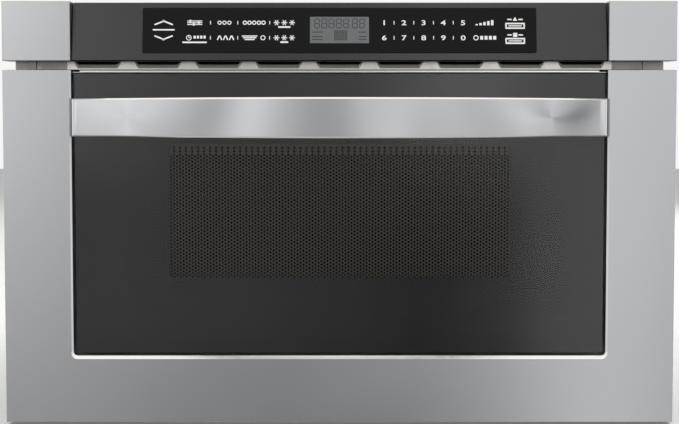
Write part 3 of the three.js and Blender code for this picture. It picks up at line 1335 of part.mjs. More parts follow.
/** Tapered duct from the fan to the magnetron's fins. */
function airDuct() {
  const from = FAN_X + FAN_DEPTH + FIT;
  const to = -MAGNETRON_HALF_W - DUCT_END_GAP;
  const loft = (inset) => {
    const outline = rectangle([-1, 1], [-1, 1]);
    const options = { depth: 1, bevelEnabled: false };
    const geometry = new THREE.ExtrudeGeometry(shapeOf(outline), options);
    geometry.applyMatrix4(EXTRUDE_FRAMES.x);
    const points = geometry.attributes.position;
    const overrun = inset > 0 ? OVERRUN : 0;
    for (let index = 0; index < points.count; index += 1) {
      const atEnd = points.getX(index) > 0.5;
      const halfY = (atEnd ? MAGNETRON_HALF_D : FAN_FRAME_HALF) - inset;
      const halfZ = (atEnd ? MAGNETRON_H / 2 : FAN_FRAME_HALF) - inset;
      const centreY = atEnd ? MAGNETRON_Y : FAN_Y;
      const centreZ = atEnd ? GUIDE_TOP + FIT + MAGNETRON_H / 2 : FAN_Z;
      points.setXYZ(
        index,
        atEnd ? to + overrun : from - overrun,
        centreY + points.getY(index) * halfY,
        centreZ + points.getZ(index) * halfZ,
      );
    }
    return solidOf(geometry);
  };
  return cut(loft(0), loft(DUCT_WALL));
}

// ---------------------------------------------------------------- small pieces

/** Bush that grips the supply cord in the rear panel. */
function cordGland() {
  const centre = GLAND_CENTRE;
  const body = rod("y", centre, GLAND.r, [REAR_Y - SHEET - GLAND.inside, GLAND_BACK]);
  const collar = rod("y", centre, GLAND.flangeR, [REAR_Y + FIT, GLAND_BACK]);
  return cut(join(body, collar), rod("y", centre, GLAND.bore, [0, FOREVER]));
}

/** Mains filter board on the case's side. */
function noiseFilter() {
  const x = HALF_CHASSIS - FILTER_BOARD.fromSide;
  const back = REAR_Y - FILTER_BOARD.fromRear;
  const front = back - FILTER_BOARD.length;
  const top = CHASSIS_H - FILTER_BOARD.fromTop;
  const bottom = top - FILTER_BOARD.height;
  const face = x + BOARD_T;
  const board = block([x, face], [front, back], [bottom, top]);
  const coilCentre = [front + FILTER_COIL.y, bottom + FILTER_COIL.z];
  const coil = rod("x", coilCentre, FILTER_COIL.r, [x - FILTER_COIL.height, face]);
  const filterBlock = block(
    [x - FILTER_CAPACITOR.height, face],
    [front + FILTER_CAPACITOR.from, front + FILTER_CAPACITOR.to],
    [bottom + FILTER_CAPACITOR.bottom, bottom + FILTER_CAPACITOR.top],
  );
  const postEnd = HALF_CHASSIS - CASE_SHEET - FIT;
  const posts = [front + POST_INSET, back - POST_INSET].flatMap((y) =>
    [bottom + POST_INSET, top - POST_INSET].map((z) => rod("x", [y, z], POST_R, [x, postEnd], POST_SIDES)),
  );
  return join(board, coil, filterBlock, ...posts);
}

/** Thermal cut-out with two blades, on the cavity's back. */
function thermalCutout() {
  const face = CAVITY_BACK + SHEET + FIT;
  const middle = CAVITY_TOP - CUTOUT.underRoof;
  const disc = rod("y", [CUTOUT.x, middle], CUTOUT.r, [face, face + CUTOUT.height]);
  const { x, thickness, half, length } = CUTOUT_BLADE;
  const blades = [CUTOUT.x - x, CUTOUT.x + x].map((centre) =>
    block(
      [centre - thickness / 2, centre + thickness / 2],
      [face + OVERRUN, face + length],
      [middle - half, middle + half],
    ),
  );
  return join(disc, ...blades);
}

/** Lamp and holder on the cavity's side. */
function cavityLamp() {
  const face = CAVITY_HALF_W + SHEET + FIT;
  const middle = CAVITY_TOP - LAMP.underRoof;
  const { halfY, halfZ, thickness } = LAMP_HOLDER;
  const holder = block(
    [face, face + thickness],
    [LAMP.y - halfY, LAMP.y + halfY],
    [middle - halfZ, middle + halfZ],
  );
  const bulb = rod("x", [LAMP.y, middle], LAMP.r, [face + OVERRUN, face + LAMP.length], SHAFT_SIDES);
  return join(holder, bulb);
}

// ---------------------------------------------------------------- assembly

const model = new THREE.Group();
const inCabinet = new THREE.Group();
inCabinet.position.set(0, -ORIGIN_Y, 0);
model.add(inCabinet);

const SIDES = [["left", -1], ["right", 1]];

function addChassis() {
  addPiece(inCabinet, "base_pan", basePan(), "zincSheet");
  addPiece(inCabinet, "outer_case", outerCase(), "zincSheet");
  addPiece(inCabinet, "rear_panel", rearPanel(), "zincSheet");
  addPiece(inCabinet, "front_plate", frontPlate(), "paintedSheet");
  addPiece(inCabinet, "vent_grille", ventGrille(), "paintedSheet");
  addPiece(inCabinet, "cavity_shell", cavityShell(), "cavityEnamel");
  for (const [name, side] of SIDES) {
    addPiece(inCabinet, `flange_${name}`, flange(side), "paintedSheet");
    addPiece(inCabinet, `slide_outer_${name}`, slideOuter(side), "zincSheet");
  }
}

function addControlPanel() {
  addPiece(inCabinet, "control_housing", controlHousing(), "blackPlastic");
  addPiece(inCabinet, "control_board", controlBoard(), "circuitGreen");
  for (const [name, side] of SIDES) {
    addPiece(inCabinet, `end_cap_${name}`, endCap(side), "brushedSteel");
  }
  addFascia(inCabinet);
}

function addGenerator() {
  addPiece(inCabinet, "waveguide", waveguide(), "zincSheet");
  addPiece(inCabinet, "magnetron", magnetron(), "aluminium");
  addPiece(inCabinet, "stirrer_motor", stirrerMotor(), "greyPlastic");
  addPiece(inCabinet, "stirrer_antenna", stirrerAntenna(), "aluminium", [0, FEED_Y, STIRRER_Z]);
  addPiece(inCabinet, "stirrer_cover", stirrerCover(), "whitePlastic");
  addPiece(inCabinet, "hv_transformer", hvTransformer(), "laminations");
  addPiece(inCabinet, "hv_capacitor", hvCapacitor(), "aluminium");
  addPiece(inCabinet, "hv_diode", hvDiode(), "blackPlastic");
  addPiece(inCabinet, "fan_shroud", fanShroud(), "blackPlastic");
  addPiece(inCabinet, "fan_motor", fanMotor(), "laminations");
  addPiece(inCabinet, "fan_blade", fanBlade(), "blackPlastic", [FAN_X, FAN_Y, FAN_Z]);
  addPiece(inCabinet, "air_duct", airDuct(), "greyPlastic");
}

function addSmallPieces() {
  addPiece(inCabinet, "cord_gland", cordGland(), "blackPlastic");
  addPiece(inCabinet, "noise_filter", noiseFilter(), "circuitGreen");
  addPiece(inCabinet, "thermal_cutout", thermalCutout(), "blackPlastic");
  addPiece(inCabinet, "cavity_lamp", cavityLamp(), "whitePlastic");
  addPiece(inCabinet, "switch_bracket", switchBracket(), "zincSheet");
  addPiece(inCabinet, "switch_primary", interlockSwitch(-HOOK_X), "blackPlastic");
  addPiece(inCabinet, "switch_monitor", interlockSwitch(HOOK_X), "blackPlastic");
  addPiece(inCabinet, "plunger_primary", switchPlunger(-HOOK_X), "whitePlastic");
  addPiece(inCabinet, "plunger_monitor", switchPlunger(HOOK_X), "whitePlastic");
}

function addDrive() {
  addPiece(inCabinet, "gear_motor", gearMotor(), "greyPlastic");
  addPiece(inCabinet, "motor_bracket", motorBracket(), "zincSheet");
  addPiece(inCabinet, "drive_pinion", drivePinion(), "whitePlastic", [0, PINION_Y, PINION_Z]);
}

function addDrawer() {
  addPiece(inCabinet, "door_frame", doorFrame(), "brushedSteel");
  addPiece(inCabinet, "door_glass", doorGlass(), "darkGlass");
  addPiece(inCabinet, "glass_top_trim", glassTopTrim(), "polishedSteel");
  addPiece(inCabinet, "door_inner_panel", doorInnerPanel(), "zincSheet");
  addPiece(inCabinet, "perforated_screen", perforatedScreen(), "screenBrown");
  addPiece(inCabinet, "choke_cover", chokeCover(), "greyPlastic");
  addPiece(inCabinet, "handle_bar", handleBar(), "brushedSteel");
  addPiece(inCabinet, "drawer_box", drawerBox(), "cavityEnamel");
  addPiece(inCabinet, "ceramic_tray", ceramicTray(), "ceramic");
  addPiece(inCabinet, "drive_rack", driveRack(), "whitePlastic");
  for (const [name, side] of SIDES) {
    addPiece(inCabinet, `handle_mount_${name}`, handleMount(side), "brushedSteel");
    addPiece(inCabinet, `slide_inner_${name}`, slideInner(side), "zincSheet");
    addPiece(inCabinet, `slide_middle_${name}`, slideMiddle(side), "zincSheet");
    addPiece(inCabinet, `latch_hook_${name}`, latchHook(side * HOOK_X), "whitePlastic");
  }
}

addChassis();
addControlPanel();
addGenerator();
addSmallPieces();
addDrive();
addDrawer();

export default model;
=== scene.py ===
"""Built-in microwave drawer: the finished look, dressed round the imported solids.

Everything is in metres in the solids' own frame: +X right, +Y back into the cabinet, +Z up.
"""

import json
import math

import bmesh
import bpy
from bpy.props import FloatProperty, FloatVectorProperty, IntProperty, PointerProperty
from mathutils import Matrix, Vector

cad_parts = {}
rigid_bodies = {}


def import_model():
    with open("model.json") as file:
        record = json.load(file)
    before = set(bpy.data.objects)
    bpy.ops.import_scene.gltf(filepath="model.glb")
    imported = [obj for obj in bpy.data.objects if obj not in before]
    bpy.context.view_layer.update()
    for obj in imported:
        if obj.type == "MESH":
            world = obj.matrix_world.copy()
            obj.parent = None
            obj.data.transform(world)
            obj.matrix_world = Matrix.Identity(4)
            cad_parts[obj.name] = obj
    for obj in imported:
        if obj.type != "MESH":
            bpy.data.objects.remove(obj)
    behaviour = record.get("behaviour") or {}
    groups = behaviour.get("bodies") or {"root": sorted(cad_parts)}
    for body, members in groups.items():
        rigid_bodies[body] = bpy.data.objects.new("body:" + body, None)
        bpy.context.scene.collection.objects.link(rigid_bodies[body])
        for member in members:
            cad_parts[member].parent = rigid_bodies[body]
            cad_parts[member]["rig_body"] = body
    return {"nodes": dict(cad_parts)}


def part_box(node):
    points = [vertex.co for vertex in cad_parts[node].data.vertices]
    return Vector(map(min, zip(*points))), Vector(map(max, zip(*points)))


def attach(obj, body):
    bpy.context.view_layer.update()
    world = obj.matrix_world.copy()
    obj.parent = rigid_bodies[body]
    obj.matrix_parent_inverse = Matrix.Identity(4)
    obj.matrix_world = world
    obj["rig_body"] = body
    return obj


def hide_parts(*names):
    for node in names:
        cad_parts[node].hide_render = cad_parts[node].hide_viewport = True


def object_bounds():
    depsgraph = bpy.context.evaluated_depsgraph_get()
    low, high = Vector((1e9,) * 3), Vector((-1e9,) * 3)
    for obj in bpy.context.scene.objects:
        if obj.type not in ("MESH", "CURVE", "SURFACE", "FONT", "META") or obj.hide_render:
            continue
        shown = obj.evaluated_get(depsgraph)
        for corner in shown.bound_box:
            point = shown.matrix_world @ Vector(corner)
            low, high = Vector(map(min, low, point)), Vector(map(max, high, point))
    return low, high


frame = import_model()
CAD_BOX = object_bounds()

bl_info = {
    "name": "Microwave drawer",
    "version": (1, 0, 0),
    "blender": (4, 5, 0),
    "location": "View3D > Sidebar > Drawer",
    "description": "Builds the finished look of a built-in microwave drawer",
    "category": "Object",
}

MM = 0.001
SIDES = (("left", -1), ("right", 1))
SMOOTH_DEGREES = 40  # faces that meet at less than this angle shade as one surface
SAME = 0.01 * MM  # places closer together than this are the same place
FLOOR_COLOUR = "#dcdcda"
QUARTER = math.pi / 2


# ------------------------------------------------------------------ colours and nodes

def linear(hex_colour):
    """An sRGB hex colour as linear red, green, blue and alpha."""
    parts = [int(hex_colour[i:i + 2], 16) / 255 for i in (1, 3, 5)]
    return (*[c / 12.92 if c <= 0.04045 else ((c + 0.055) / 1.055) ** 2.4 for c in parts], 1.0)


def add_node(tree, kind, links=None, values=None, **settings):
    """Adds a shader node with its settings, its inputs' values and the links into it."""
    made = tree.nodes.new("ShaderNode" + kind)
    for name, value in settings.items():
        setattr(made, name, value)
    for key, value in (values or {}).items():
        made.inputs[key].default_value = value
    for key, socket in (links or {}).items():
        tree.links.new(socket, made.inputs[key])
    return made


def start_material(name, colour, **shader_values):
    """A new material: its tree, its shader with these values, and its Object coordinates."""
    material = bpy.data.materials.new(name)
    material.use_nodes = True
    tree = material.node_tree
    shader = tree.nodes["Principled BSDF"]
    shader.inputs["Base Color"].default_value = linear(colour)
    for key, value in shader_values.items():
        shader.inputs[key.replace("_", " ").title().replace("Ior", "IOR")].default_value = value
    coordinates = add_node(tree, "TexCoord").outputs["Object"]
    return material, tree, shader, coordinates


def lay_on(tree, shader, pattern, rough=None, limits=(0.0, 1.0), bump=None, colours=None):
    """Lays a pattern over a finish.

    It takes the roughness from one value to another as it goes from limit to limit, raises a bump of a
    strength and a height in millimetres, and changes the colour from one to another.
    """
    if rough:
        varied = add_node(
            tree, "MapRange", {"Value": pattern},
            {"From Min": limits[0], "From Max": limits[1], "To Min": rough[0], "To Max": rough[1]})
        tree.links.new(varied.outputs[0], shader.inputs["Roughness"])
    if bump:
        raised = add_node(
            tree, "Bump", {"Height": pattern}, {"Strength": bump[0], "Distance": bump[1] * MM})
        tree.links.new(raised.outputs[0], shader.inputs["Normal"])
    if colours:
        first, second = map(linear, colours)
        mixed = add_node(tree, "Mix", {"Factor": pattern}, {"A": first, "B": second}, data_type="RGBA")
        tree.links.new(mixed.outputs["Result"], shader.inputs["Base Color"])


def per_metre(spacing_mm):
    """How often a pattern of this spacing in millimetres repeats in a metre."""
    return 1 / (spacing_mm * MM)


# ------------------------------------------------------------------ materials

def satin_steel(name, colour, roughness):
    """Stainless steel sheet, finished with a fine belt: its grain spreads reflections across it."""
    material, tree, shader, coordinates = start_material(
        name, colour, metallic=1.0, roughness=roughness, anisotropic=0.85)
    # Grain lines 0.25 mm across and 60 mm long: a step coarser than the belt's, so that they show.
    line, run = per_metre(0.25), per_metre(60)
    grain_space = add_node(tree, "Mapping", {"Vector": coordinates}, {"Scale": (run, line, line)})
    grain = add_node(
        tree, "TexNoise", {"Vector": grain_space.outputs[0]},
        {"Scale": 1.0, "Detail": 3.0, "Roughness": 0.6})
    # Soft clouds 90 mm across, where the belt pressed more or less.
    cloud = add_node(
        tree, "TexNoise", {"Vector": coordinates},
        {"Scale": per_metre(90), "Detail": 2.0, "Roughness": 0.5})
    mixed = add_node(tree, "Math", {0: grain.outputs["Fac"], 1: cloud.outputs["Fac"]}, operation="ADD")
    lay_on(tree, shader, mixed.outputs[0], (roughness - 0.015, roughness + 0.02), (0.6, 1.4))
    lay_on(tree, shader, grain.outputs["Fac"], bump=(0.008, 0.1))
    tangent = add_node(tree, "Tangent", direction_type="RADIAL", axis="X")
    tree.links.new(tangent.outputs[0], shader.inputs["Tangent"])
    return material


def polished_steel(name, colour, roughness):
    """Polished steel edge: it mirrors the lights as a bright line."""
    material, tree, shader, coordinates = start_material(name, colour, metallic=1.0, roughness=roughness)
    haze = add_node(
        tree, "TexNoise", {"Vector": coordinates},
        {"Scale": per_metre(6), "Detail": 3.0, "Roughness": 0.6})
    lay_on(tree, shader, haze.outputs["Fac"], (roughness * 0.7, roughness * 1.4))
    return material


def galvanised_sheet(name, light, dark):
    """Hot-dip galvanised sheet: flat crystals of zinc, each with its own grey and shine."""
    material, tree, shader, coordinates = start_material(name, light, metallic=1.0, roughness=0.42)
    # Crystals about 5 mm across.
    crystals = add_node(
        tree, "TexVoronoi", {"Vector": coordinates}, {"Scale": per_metre(5), "Randomness": 1.0})
    tone = add_node(tree, "SeparateColor", {"Color": crystals.outputs["Color"]})
    blur = add_node(tree, "TexNoise", {"Vector": coordinates}, {"Scale": per_metre(40), "Detail": 3.0})
    mixed = add_node(tree, "Math", {0: tone.outputs[0], 1: blur.outputs["Fac"]}, operation="MULTIPLY")
    lay_on(tree, shader, mixed.outputs[0], colours=(light, dark))
    lay_on(tree, shader, tone.outputs[1], (0.36, 0.5))
    return material


def powder_coat(name, colour, roughness, specular=0.5):
    """Powder-coated steel: an even grey with the fine orange-peel of the baked powder."""
    material, tree, shader, coordinates = start_material(
        name, colour, roughness=roughness, specular_ior_level=specular)
    # Orange-peel 0.9 mm across.
    peel = add_node(
        tree, "TexNoise", {"Vector": coordinates},
        {"Scale": per_metre(0.9), "Detail": 2.0, "Roughness": 0.5})
    lay_on(tree, shader, peel.outputs["Fac"], (roughness - 0.06, roughness + 0.06), bump=(0.15, 0.1))
    return material


def speckled_enamel(name, colour, speck):
    """Cavity paint: light grey enamel baked with darker specks, smooth and easy to wipe."""
    material, tree, shader, coordinates = start_material(name, colour, roughness=0.32, coat_weight=0.3)
    # Specks 0.6 mm across, about 2 mm apart.
    cells = add_node(tree, "TexVoronoi", {"Vector": coordinates}, {"Scale": per_metre(2.0)})
    spot = add_node(
        tree, "MapRange", {"Value": cells.outputs["Distance"]},
        {"From Min": 0.12, "From Max": 0.2, "To Min": 1.0, "To Max": 0.0})
    lay_on(tree, shader, spot.outputs[0], colours=(colour, speck))
    return material


def pierced_enamel(name, colour, pitch_mm):
    """Enamelled sheet with round holes, as the window shows from inside the drawer."""
    material, tree, shader, coordinates = start_material(name, colour, roughness=0.35)
    flat = add_node(tree, "Mapping", {"Vector": coordinates}, {"Scale": (1, 0, 1)})
    cells = add_node(
        tree, "TexVoronoi", {"Vector": flat.outputs[0]},
        {"Scale": per_metre(pitch_mm), "Randomness": 0.0})
    metal = add_node(
        tree, "MapRange", {"Value": cells.outputs["Distance"]},
        {"From Min": 0.27, "From Max": 0.33, "To Min": 0.0, "To Max": 1.0})
    lay_on(tree, shader, metal.outputs[0], colours=("#0a0a0a", colour))
    return material


def moulded_plastic(name, colour, roughness, grain_mm=0.5, specular=0.5):
    """Injection-moulded plastic: a spark-eroded texture that dulls its shine."""
    material, tree, shader, coordinates = start_material(
        name, colour, roughness=roughness, ior=1.5, specular_ior_level=specular)
    grain = add_node(
        tree, "TexNoise", {"Vector": coordinates},
        {"Scale": per_metre(grain_mm), "Detail": 2.0, "Roughness": 0.6})
    lay_on(tree, shader, grain.outputs["Fac"], (roughness - 0.05, roughness + 0.07), bump=(0.12, 0.1))
    return material


def smoked_glass(name, colour, alpha, roughness=0.06):
    """Tempered glass, smoked nearly black: a sharp reflection over what shows faintly behind it."""
    material, tree, shader, coordinates = start_material(
        name, colour, roughness=roughness, ior=1.52, alpha=alpha)
    # The roller wave of tempering, 120 mm from crest to crest.
    wave = add_node(tree, "TexNoise", {"Vector": coordinates}, {"Scale": per_metre(120), "Detail": 1.0})
    lay_on(tree, shader, wave.outputs["Fac"], bump=(0.1, 0.5))
    haze = add_node(tree, "TexNoise", {"Vector": coordinates}, {"Scale": per_metre(25), "Detail": 3.0})
    lay_on(tree, shader, haze.outputs["Fac"], (roughness * 0.7, roughness * 1.5))
    return material


def printed_ink(name, colour, roughness=0.6, specular=0.5):
    """Screen-printed ink, with the faint mottle of the mesh it was pressed through."""
    material, tree, shader, coordinates = start_material(
        name, colour, roughness=roughness, specular_ior_level=specular)
    mottle = add_node(tree, "TexNoise", {"Vector": coordinates}, {"Scale": per_metre(0.8), "Detail": 2.0})
    lay_on(tree, shader, mottle.outputs["Fac"], (roughness * 0.96, roughness * 1.04))
    return material


def circuit_laminate(name, colour, track):
    """Glass-epoxy laminate: green solder resist over a net of copper tracks."""
    material, tree, shader, coordinates = start_material(name, colour, roughness=0.35)
    # Tracks laid on a 2.5 mm grid.
    bricks = add_node(
        tree, "TexBrick", {"Vector": coordinates},
        {"Color1": linear(colour), "Color2": linear(colour), "Mortar": linear(track),
         "Scale": per_metre(2.5) / 10, "Mortar Size": 0.02, "Brick Width": 1.6, "Row Height": 0.25})
    tree.links.new(bricks.outputs["Color"], shader.inputs["Base Color"])
    return material


def stacked_laminations(name, light, dark):
    """Stack of silicon-steel sheets: thin lines along its faces where sheet meets sheet."""
    material, tree, shader, coordinates = start_material(name, light, metallic=0.8, roughness=0.45)
    # Sheets drawn 1 mm thick, twice the real thickness, so that they show.
    sheets = add_node(
        tree, "TexWave", {"Vector": coordinates},
        {"Scale": per_metre(1.0) / 20, "Distortion": 0.4, "Detail": 2.0},
        wave_type="BANDS", bands_direction="Y")
    lay_on(tree, shader, sheets.outputs["Fac"], bump=(0.4, 0.2), colours=(dark, light))
    return material


def rolled_aluminium(name, colour):
    """Rolled aluminium sheet: pale, with the long fine lines of the mill's rolls."""
    material, tree, shader, coordinates = start_material(name, colour, metallic=1.0, roughness=0.34)
    roll_space = add_node(
        tree, "Mapping", {"Vector": coordinates},
        {"Scale": (per_metre(30), per_metre(0.4), per_metre(0.4))})
    lines = add_node(tree, "TexNoise", {"Vector": roll_space.outputs[0]}, {"Scale": 1.0, "Detail": 3.0})
    lay_on(tree, shader, lines.outputs["Fac"], (0.26, 0.46))
    return material


def glazed_ceramic(name, colour, thin):
    """Glazed ceramic: off-white body under a clear, slightly wavy glaze that is darker where thin."""
    material, tree, shader, coordinates = start_material(
        name, colour, roughness=0.22, coat_weight=0.6, coat_roughness=0.08)
    wave = add_node(tree, "TexNoise", {"Vector": coordinates}, {"Scale": per_metre(35), "Detail": 2.0})
    lay_on(tree, shader, wave.outputs["Fac"], bump=(0.15, 0.5), colours=(colour, thin))
    return material


MATERIALS = {}


def make_materials():
    """All finishes of the drawer, by the names that the pieces use."""
    MATERIALS.update({
        "front_steel": satin_steel("satin_stainless_front", "#b6b7b9", 0.24),
        "handle_steel": satin_steel("satin_stainless_handle", "#b6b7b9", 0.21),
        # Polished, which is real, and paler than the satin front of the same steel, which is a painted
        # highlight along the bevels and the trim.
        "bright_edge": polished_steel("polished_stainless_edge", "#e6e4e0", 0.12),
        "zinc": galvanised_sheet("galvanised_steel", "#b0b3b4", "#989c9d"),
        "grey_coat": powder_coat("grey_powder_coat", "#7e7b77", 0.42),
        "enamel": speckled_enamel("speckled_cavity_enamel", "#b8b4aa", "#5f5b54"),
        "door_glass": smoked_glass("smoked_door_glass", "#050505", 0.2),
        "glass_print": printed_ink("dark_ceramic_print", "#272727", 0.06, 0.94),
        # Near black and barely shiny: painted shade behind the screen's holes, for the dark inside of the
        # drawer.
        "film": printed_ink("black_steam_film", "#020202", 0.6, 0.02),
        "fascia_glass": smoked_glass("smoked_fascia_glass", "#202021", 0.97, 0.14),
        "touch_film": moulded_plastic("black_touch_film", "#0a0a0b", 0.4, 0.8, specular=0.12),
        "lcd": moulded_plastic("lcd_window", "#606263", 0.18, 2.0),
        "lcd_ink": printed_ink("lcd_segments", "#303233"),
        "legend": printed_ink("white_legend_ink", "#e8e8e6"),
        "screen": powder_coat("brown_perforated_steel", "#4b443e", 0.16, 0.9),
        "inner_screen": pierced_enamel("pierced_enamel_screen", "#a8a49a", 3.2),
        "strip_steel": polished_steel("bright_rolled_strip", "#bdbbb6", 0.2),
        # Darker than the same steel on the strip's face: painted shade where the end caps shade the flanges
        # and the strip's ends.
        "flange_steel": polished_steel("rolled_flange_steel", "#8c8b89", 0.3),
        # Darker than the strip's face: painted shade on the floors and tops of the recessed throats.
        "louvre_steel": polished_steel("rolled_louvre_steel", "#a3a19e", 0.3),
        "screw": polished_steel("zinc_plated_screw", "#a5a6a6", 0.28),
        "rubber": moulded_plastic("black_rubber", "#131313", 0.75, 0.6),
        # Near black and matt: painted shade behind the vent strip's openings.
        "filter": moulded_plastic("black_filter_felt", "#070707", 0.9, 1.2),
        "black_abs": moulded_plastic("black_abs", "#1b1b1c", 0.42),
        "grey_pp": moulded_plastic("grey_polypropylene", "#5c5d5e", 0.5),
        "white_nylon": moulded_plastic("white_nylon", "#dcdad2", 0.4, 0.7),
        "ceramic": glazed_ceramic("glazed_ceramic_tray", "#e6e2d8", "#d8d3c6"),
        "board": circuit_laminate("circuit_board_laminate", "#1c5a34", "#2f7a48"),
        "laminations": stacked_laminations("transformer_laminations", "#747678", "#3c3d3f"),
        "aluminium": rolled_aluminium("rolled_aluminium", "#c6c8ca"),
    })


# ------------------------------------------------------------------ mesh helpers

def between(low, high, share):
    """The place at this share of the way from low to high."""
    return low + share * (high - low)


def add_block(bm, low, high):
    """A rectangular block between two corners."""
    size = [b - a for a, b in zip(low, high)]
    middle = [(a + b) / 2 for a, b in zip(low, high)]
    place = Matrix.Translation(middle) @ Matrix.Diagonal((*size, 1))
    bmesh.ops.create_cube(bm, size=1, matrix=place)


def round_over(bm, edges, width, segments=2):
    """Rounds edges over."""
    return bmesh.ops.bevel(
        bm, geom=list(edges), offset=width, offset_type="OFFSET", affect="EDGES",
        segments=segments, profile=0.5, material=-1, clamp_overlap=True)


def is_sharp(edge):
    """Whether two faces meet at this edge at too wide an angle to shade as one."""
    return len(edge.link_faces) == 2 and edge.calc_face_angle() > math.radians(SMOOTH_DEGREES)


def sharp_edges(bm):
    """All edges that are sharp."""
    return [e for e in bm.edges if is_sharp(e)]


def solid_copy(node):
    """A merged copy of a CAD solid's mesh, with its flat faces whole again."""
    bm = bmesh.new()
    bm.from_mesh(frame["nodes"][node].data)
    bmesh.ops.remove_doubles(bm, verts=bm.verts, dist=SAME)
    bmesh.ops.dissolve_limit(bm, angle_limit=math.radians(1), verts=bm.verts, edges=bm.edges)
    return bm


def corner_normals(bm, degrees):
    """Normals for every face corner: flat faces stay flat, and the rounded edges between shade smoothly."""
    bm.normal_update()
    bm.faces.ensure_lookup_table()
    reach = math.cos(math.radians(degrees))
    areas = [face.calc_area() for face in bm.faces]
    normals = []
    for face in bm.faces:
        for loop in face.loops:
            near = [f for f in loop.vert.link_faces if f.normal.dot(face.normal) > reach]
            total = sum((f.normal * areas[f.index] for f in near), Vector())
            normals.append(total.normalized() if total.length else face.normal.copy())
    return normals


def finish_piece(bm, name, materials, body, replaced=(), smooth=SMOOTH_DEGREES):
    """Makes a mesh a piece of the model: its object, its materials and the body that it rides on."""
    mesh = bpy.data.meshes.new(name)
    bm.faces.index_update()
    normals = corner_normals(bm, smooth) if smooth else []
    bm.to_mesh(mesh)
    bm.free()
    for material in materials:
        mesh.materials.append(MATERIALS[material])
    if smooth:
        mesh.shade_smooth()
        mesh.normals_split_custom_set(normals)
    else:
        mesh.shade_flat()
    piece = bpy.data.objects.new(name, mesh)
    bpy.context.collection.objects.link(piece)
    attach(piece, body)
    if replaced:
        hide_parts(*replaced)


def softened(node, material, width_mm, segments=2):
    """A CAD solid with its edges rounded, in place of it and on its body."""
    cad = frame["nodes"][node]
    bm = solid_copy(node)
    round_over(bm, sharp_edges(bm), width_mm * MM, segments)
    finish_piece(bm, node + "_rounded", [material], cad["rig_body"], [node])


def as_shape(bm, name):
    """Keeps a small shape as a mesh that is stamped in many places."""
    shape = bpy.data.meshes.new(name)
    bm.to_mesh(shape)
    bm.free()
    return shape


def screw_shape(washer=4.0, head=2.9, height=2.0):
    """Hexagon screw with a washer face, standing on its seat; sizes in millimetres."""
    bm = bmesh.new()
    washer_top = height * 0.35
    cones = (  # sides, radius below and above, and the heights between which it stands
        (16, washer, washer * 0.92, 0, washer_top),
        (6, head, head * 0.9, washer_top * 0.9, height),
    )
    for segments, radius, upper, low, high in cones:
        bmesh.ops.create_cone(
            bm, cap_ends=True, segments=segments, radius1=radius * MM, radius2=upper * MM,
            depth=(high - low) * MM, matrix=Matrix.Translation((0, 0, (low + high) / 2 * MM)))
    return as_shape(bm, "screw")


BEAD_SUNK = 0.1 * MM
BEAD_END = 0.49  # radius of a bead's ends, as a share of its width
BEAD_RIM = 0.9  # radius of its rim, as a share of its rise


def bead_shape(length, width, rise):
    """Pressed bead: a low pad with round ends and a soft rim, lying along x."""
    bm = bmesh.new()
    add_block(bm, (-length / 2, -width / 2, -BEAD_SUNK), (length / 2, width / 2, rise))
    upright = [e for e in bm.edges if abs(e.verts[0].co.z - e.verts[1].co.z) > rise / 2]
    round_over(bm, upright, width * BEAD_END, 6)
    rim = [e for e in sharp_edges(bm) if min(v.co.z for v in e.verts) > rise / 2]
    round_over(bm, rim, rise * BEAD_RIM, 3)
    return as_shape(bm, "bead")


def stamp(bm, shape, at, out, turn=0.0):
    """Stands a small shape on a surface: its z axis points out of it."""
    before = len(bm.verts)
    bm.from_mesh(shape)
    bm.verts.ensure_lookup_table()
    place = Matrix.Translation(at) @ Vector(out).to_track_quat("Z", "Y").to_matrix().to_4x4()
    bmesh.ops.transform(bm, matrix=place @ Matrix.Rotation(turn, 4, "Z"), verts=bm.verts[before:])


def finish_screws(bm, name, body):
    """Makes stamped screws a piece."""
    finish_piece(bm, name, ["screw"], body)


def soften_all(finishes):
    """Rounds groups of solids, each group with its material and the width of its edges in millimetres."""
    for material, width_mm, nodes in finishes:
        for node in nodes:
            softened(node, material, width_mm)


# ------------------------------------------------------------------ settings

def size_mm(name, description, default_mm, least_mm):
    """A length that a user can set."""
    return FloatProperty(
        name=name, description=description, default=default_mm * MM, min=least_mm * MM,
        unit="LENGTH", precision=5)


class DrawerSizes(bpy.types.PropertyGroup):
    """Sizes that a user would change."""

    steel_edge: size_mm("Steel edge", "Radius on the outer edges of the stainless front", 0.5, 0.1)
    opening_bevel: size_mm("Opening bevel", "Width of the bright bevel under the glass", 2.9, 0.5)
    side_bevel: size_mm("Side bevel", "Width of the bright bevel beside the glass", 1.6, 0.3)
    handle_edge: size_mm("Handle edge", "Width of the bright chamfer round the handle's face", 1.7, 0.2)
    screen_pitch: size_mm("Screen pitch", "Distance from hole to hole in the perforated screen", 3.2, 1)
    screen_web: size_mm("Screen web", "Half of the metal left between two holes of the screen", 0.52, 0.1)
    screen_border: size_mm(
        "Screen border", "Plain metal between the pierced field and the pan's edge", 6.2, 1)
    handle_stations: IntProperty(
        name="Handle stations", description="Steps along the handle's bow", default=64, min=8)


class DrawerColours(bpy.types.PropertyGroup):
    """Colours of the stage."""

    floor: FloatVectorProperty(
        name="Floor", description="Colour of the studio floor", subtype="COLOR", size=4,
        default=linear(FLOOR_COLOUR), min=0, max=1)


# ------------------------------------------------------------------ the stage

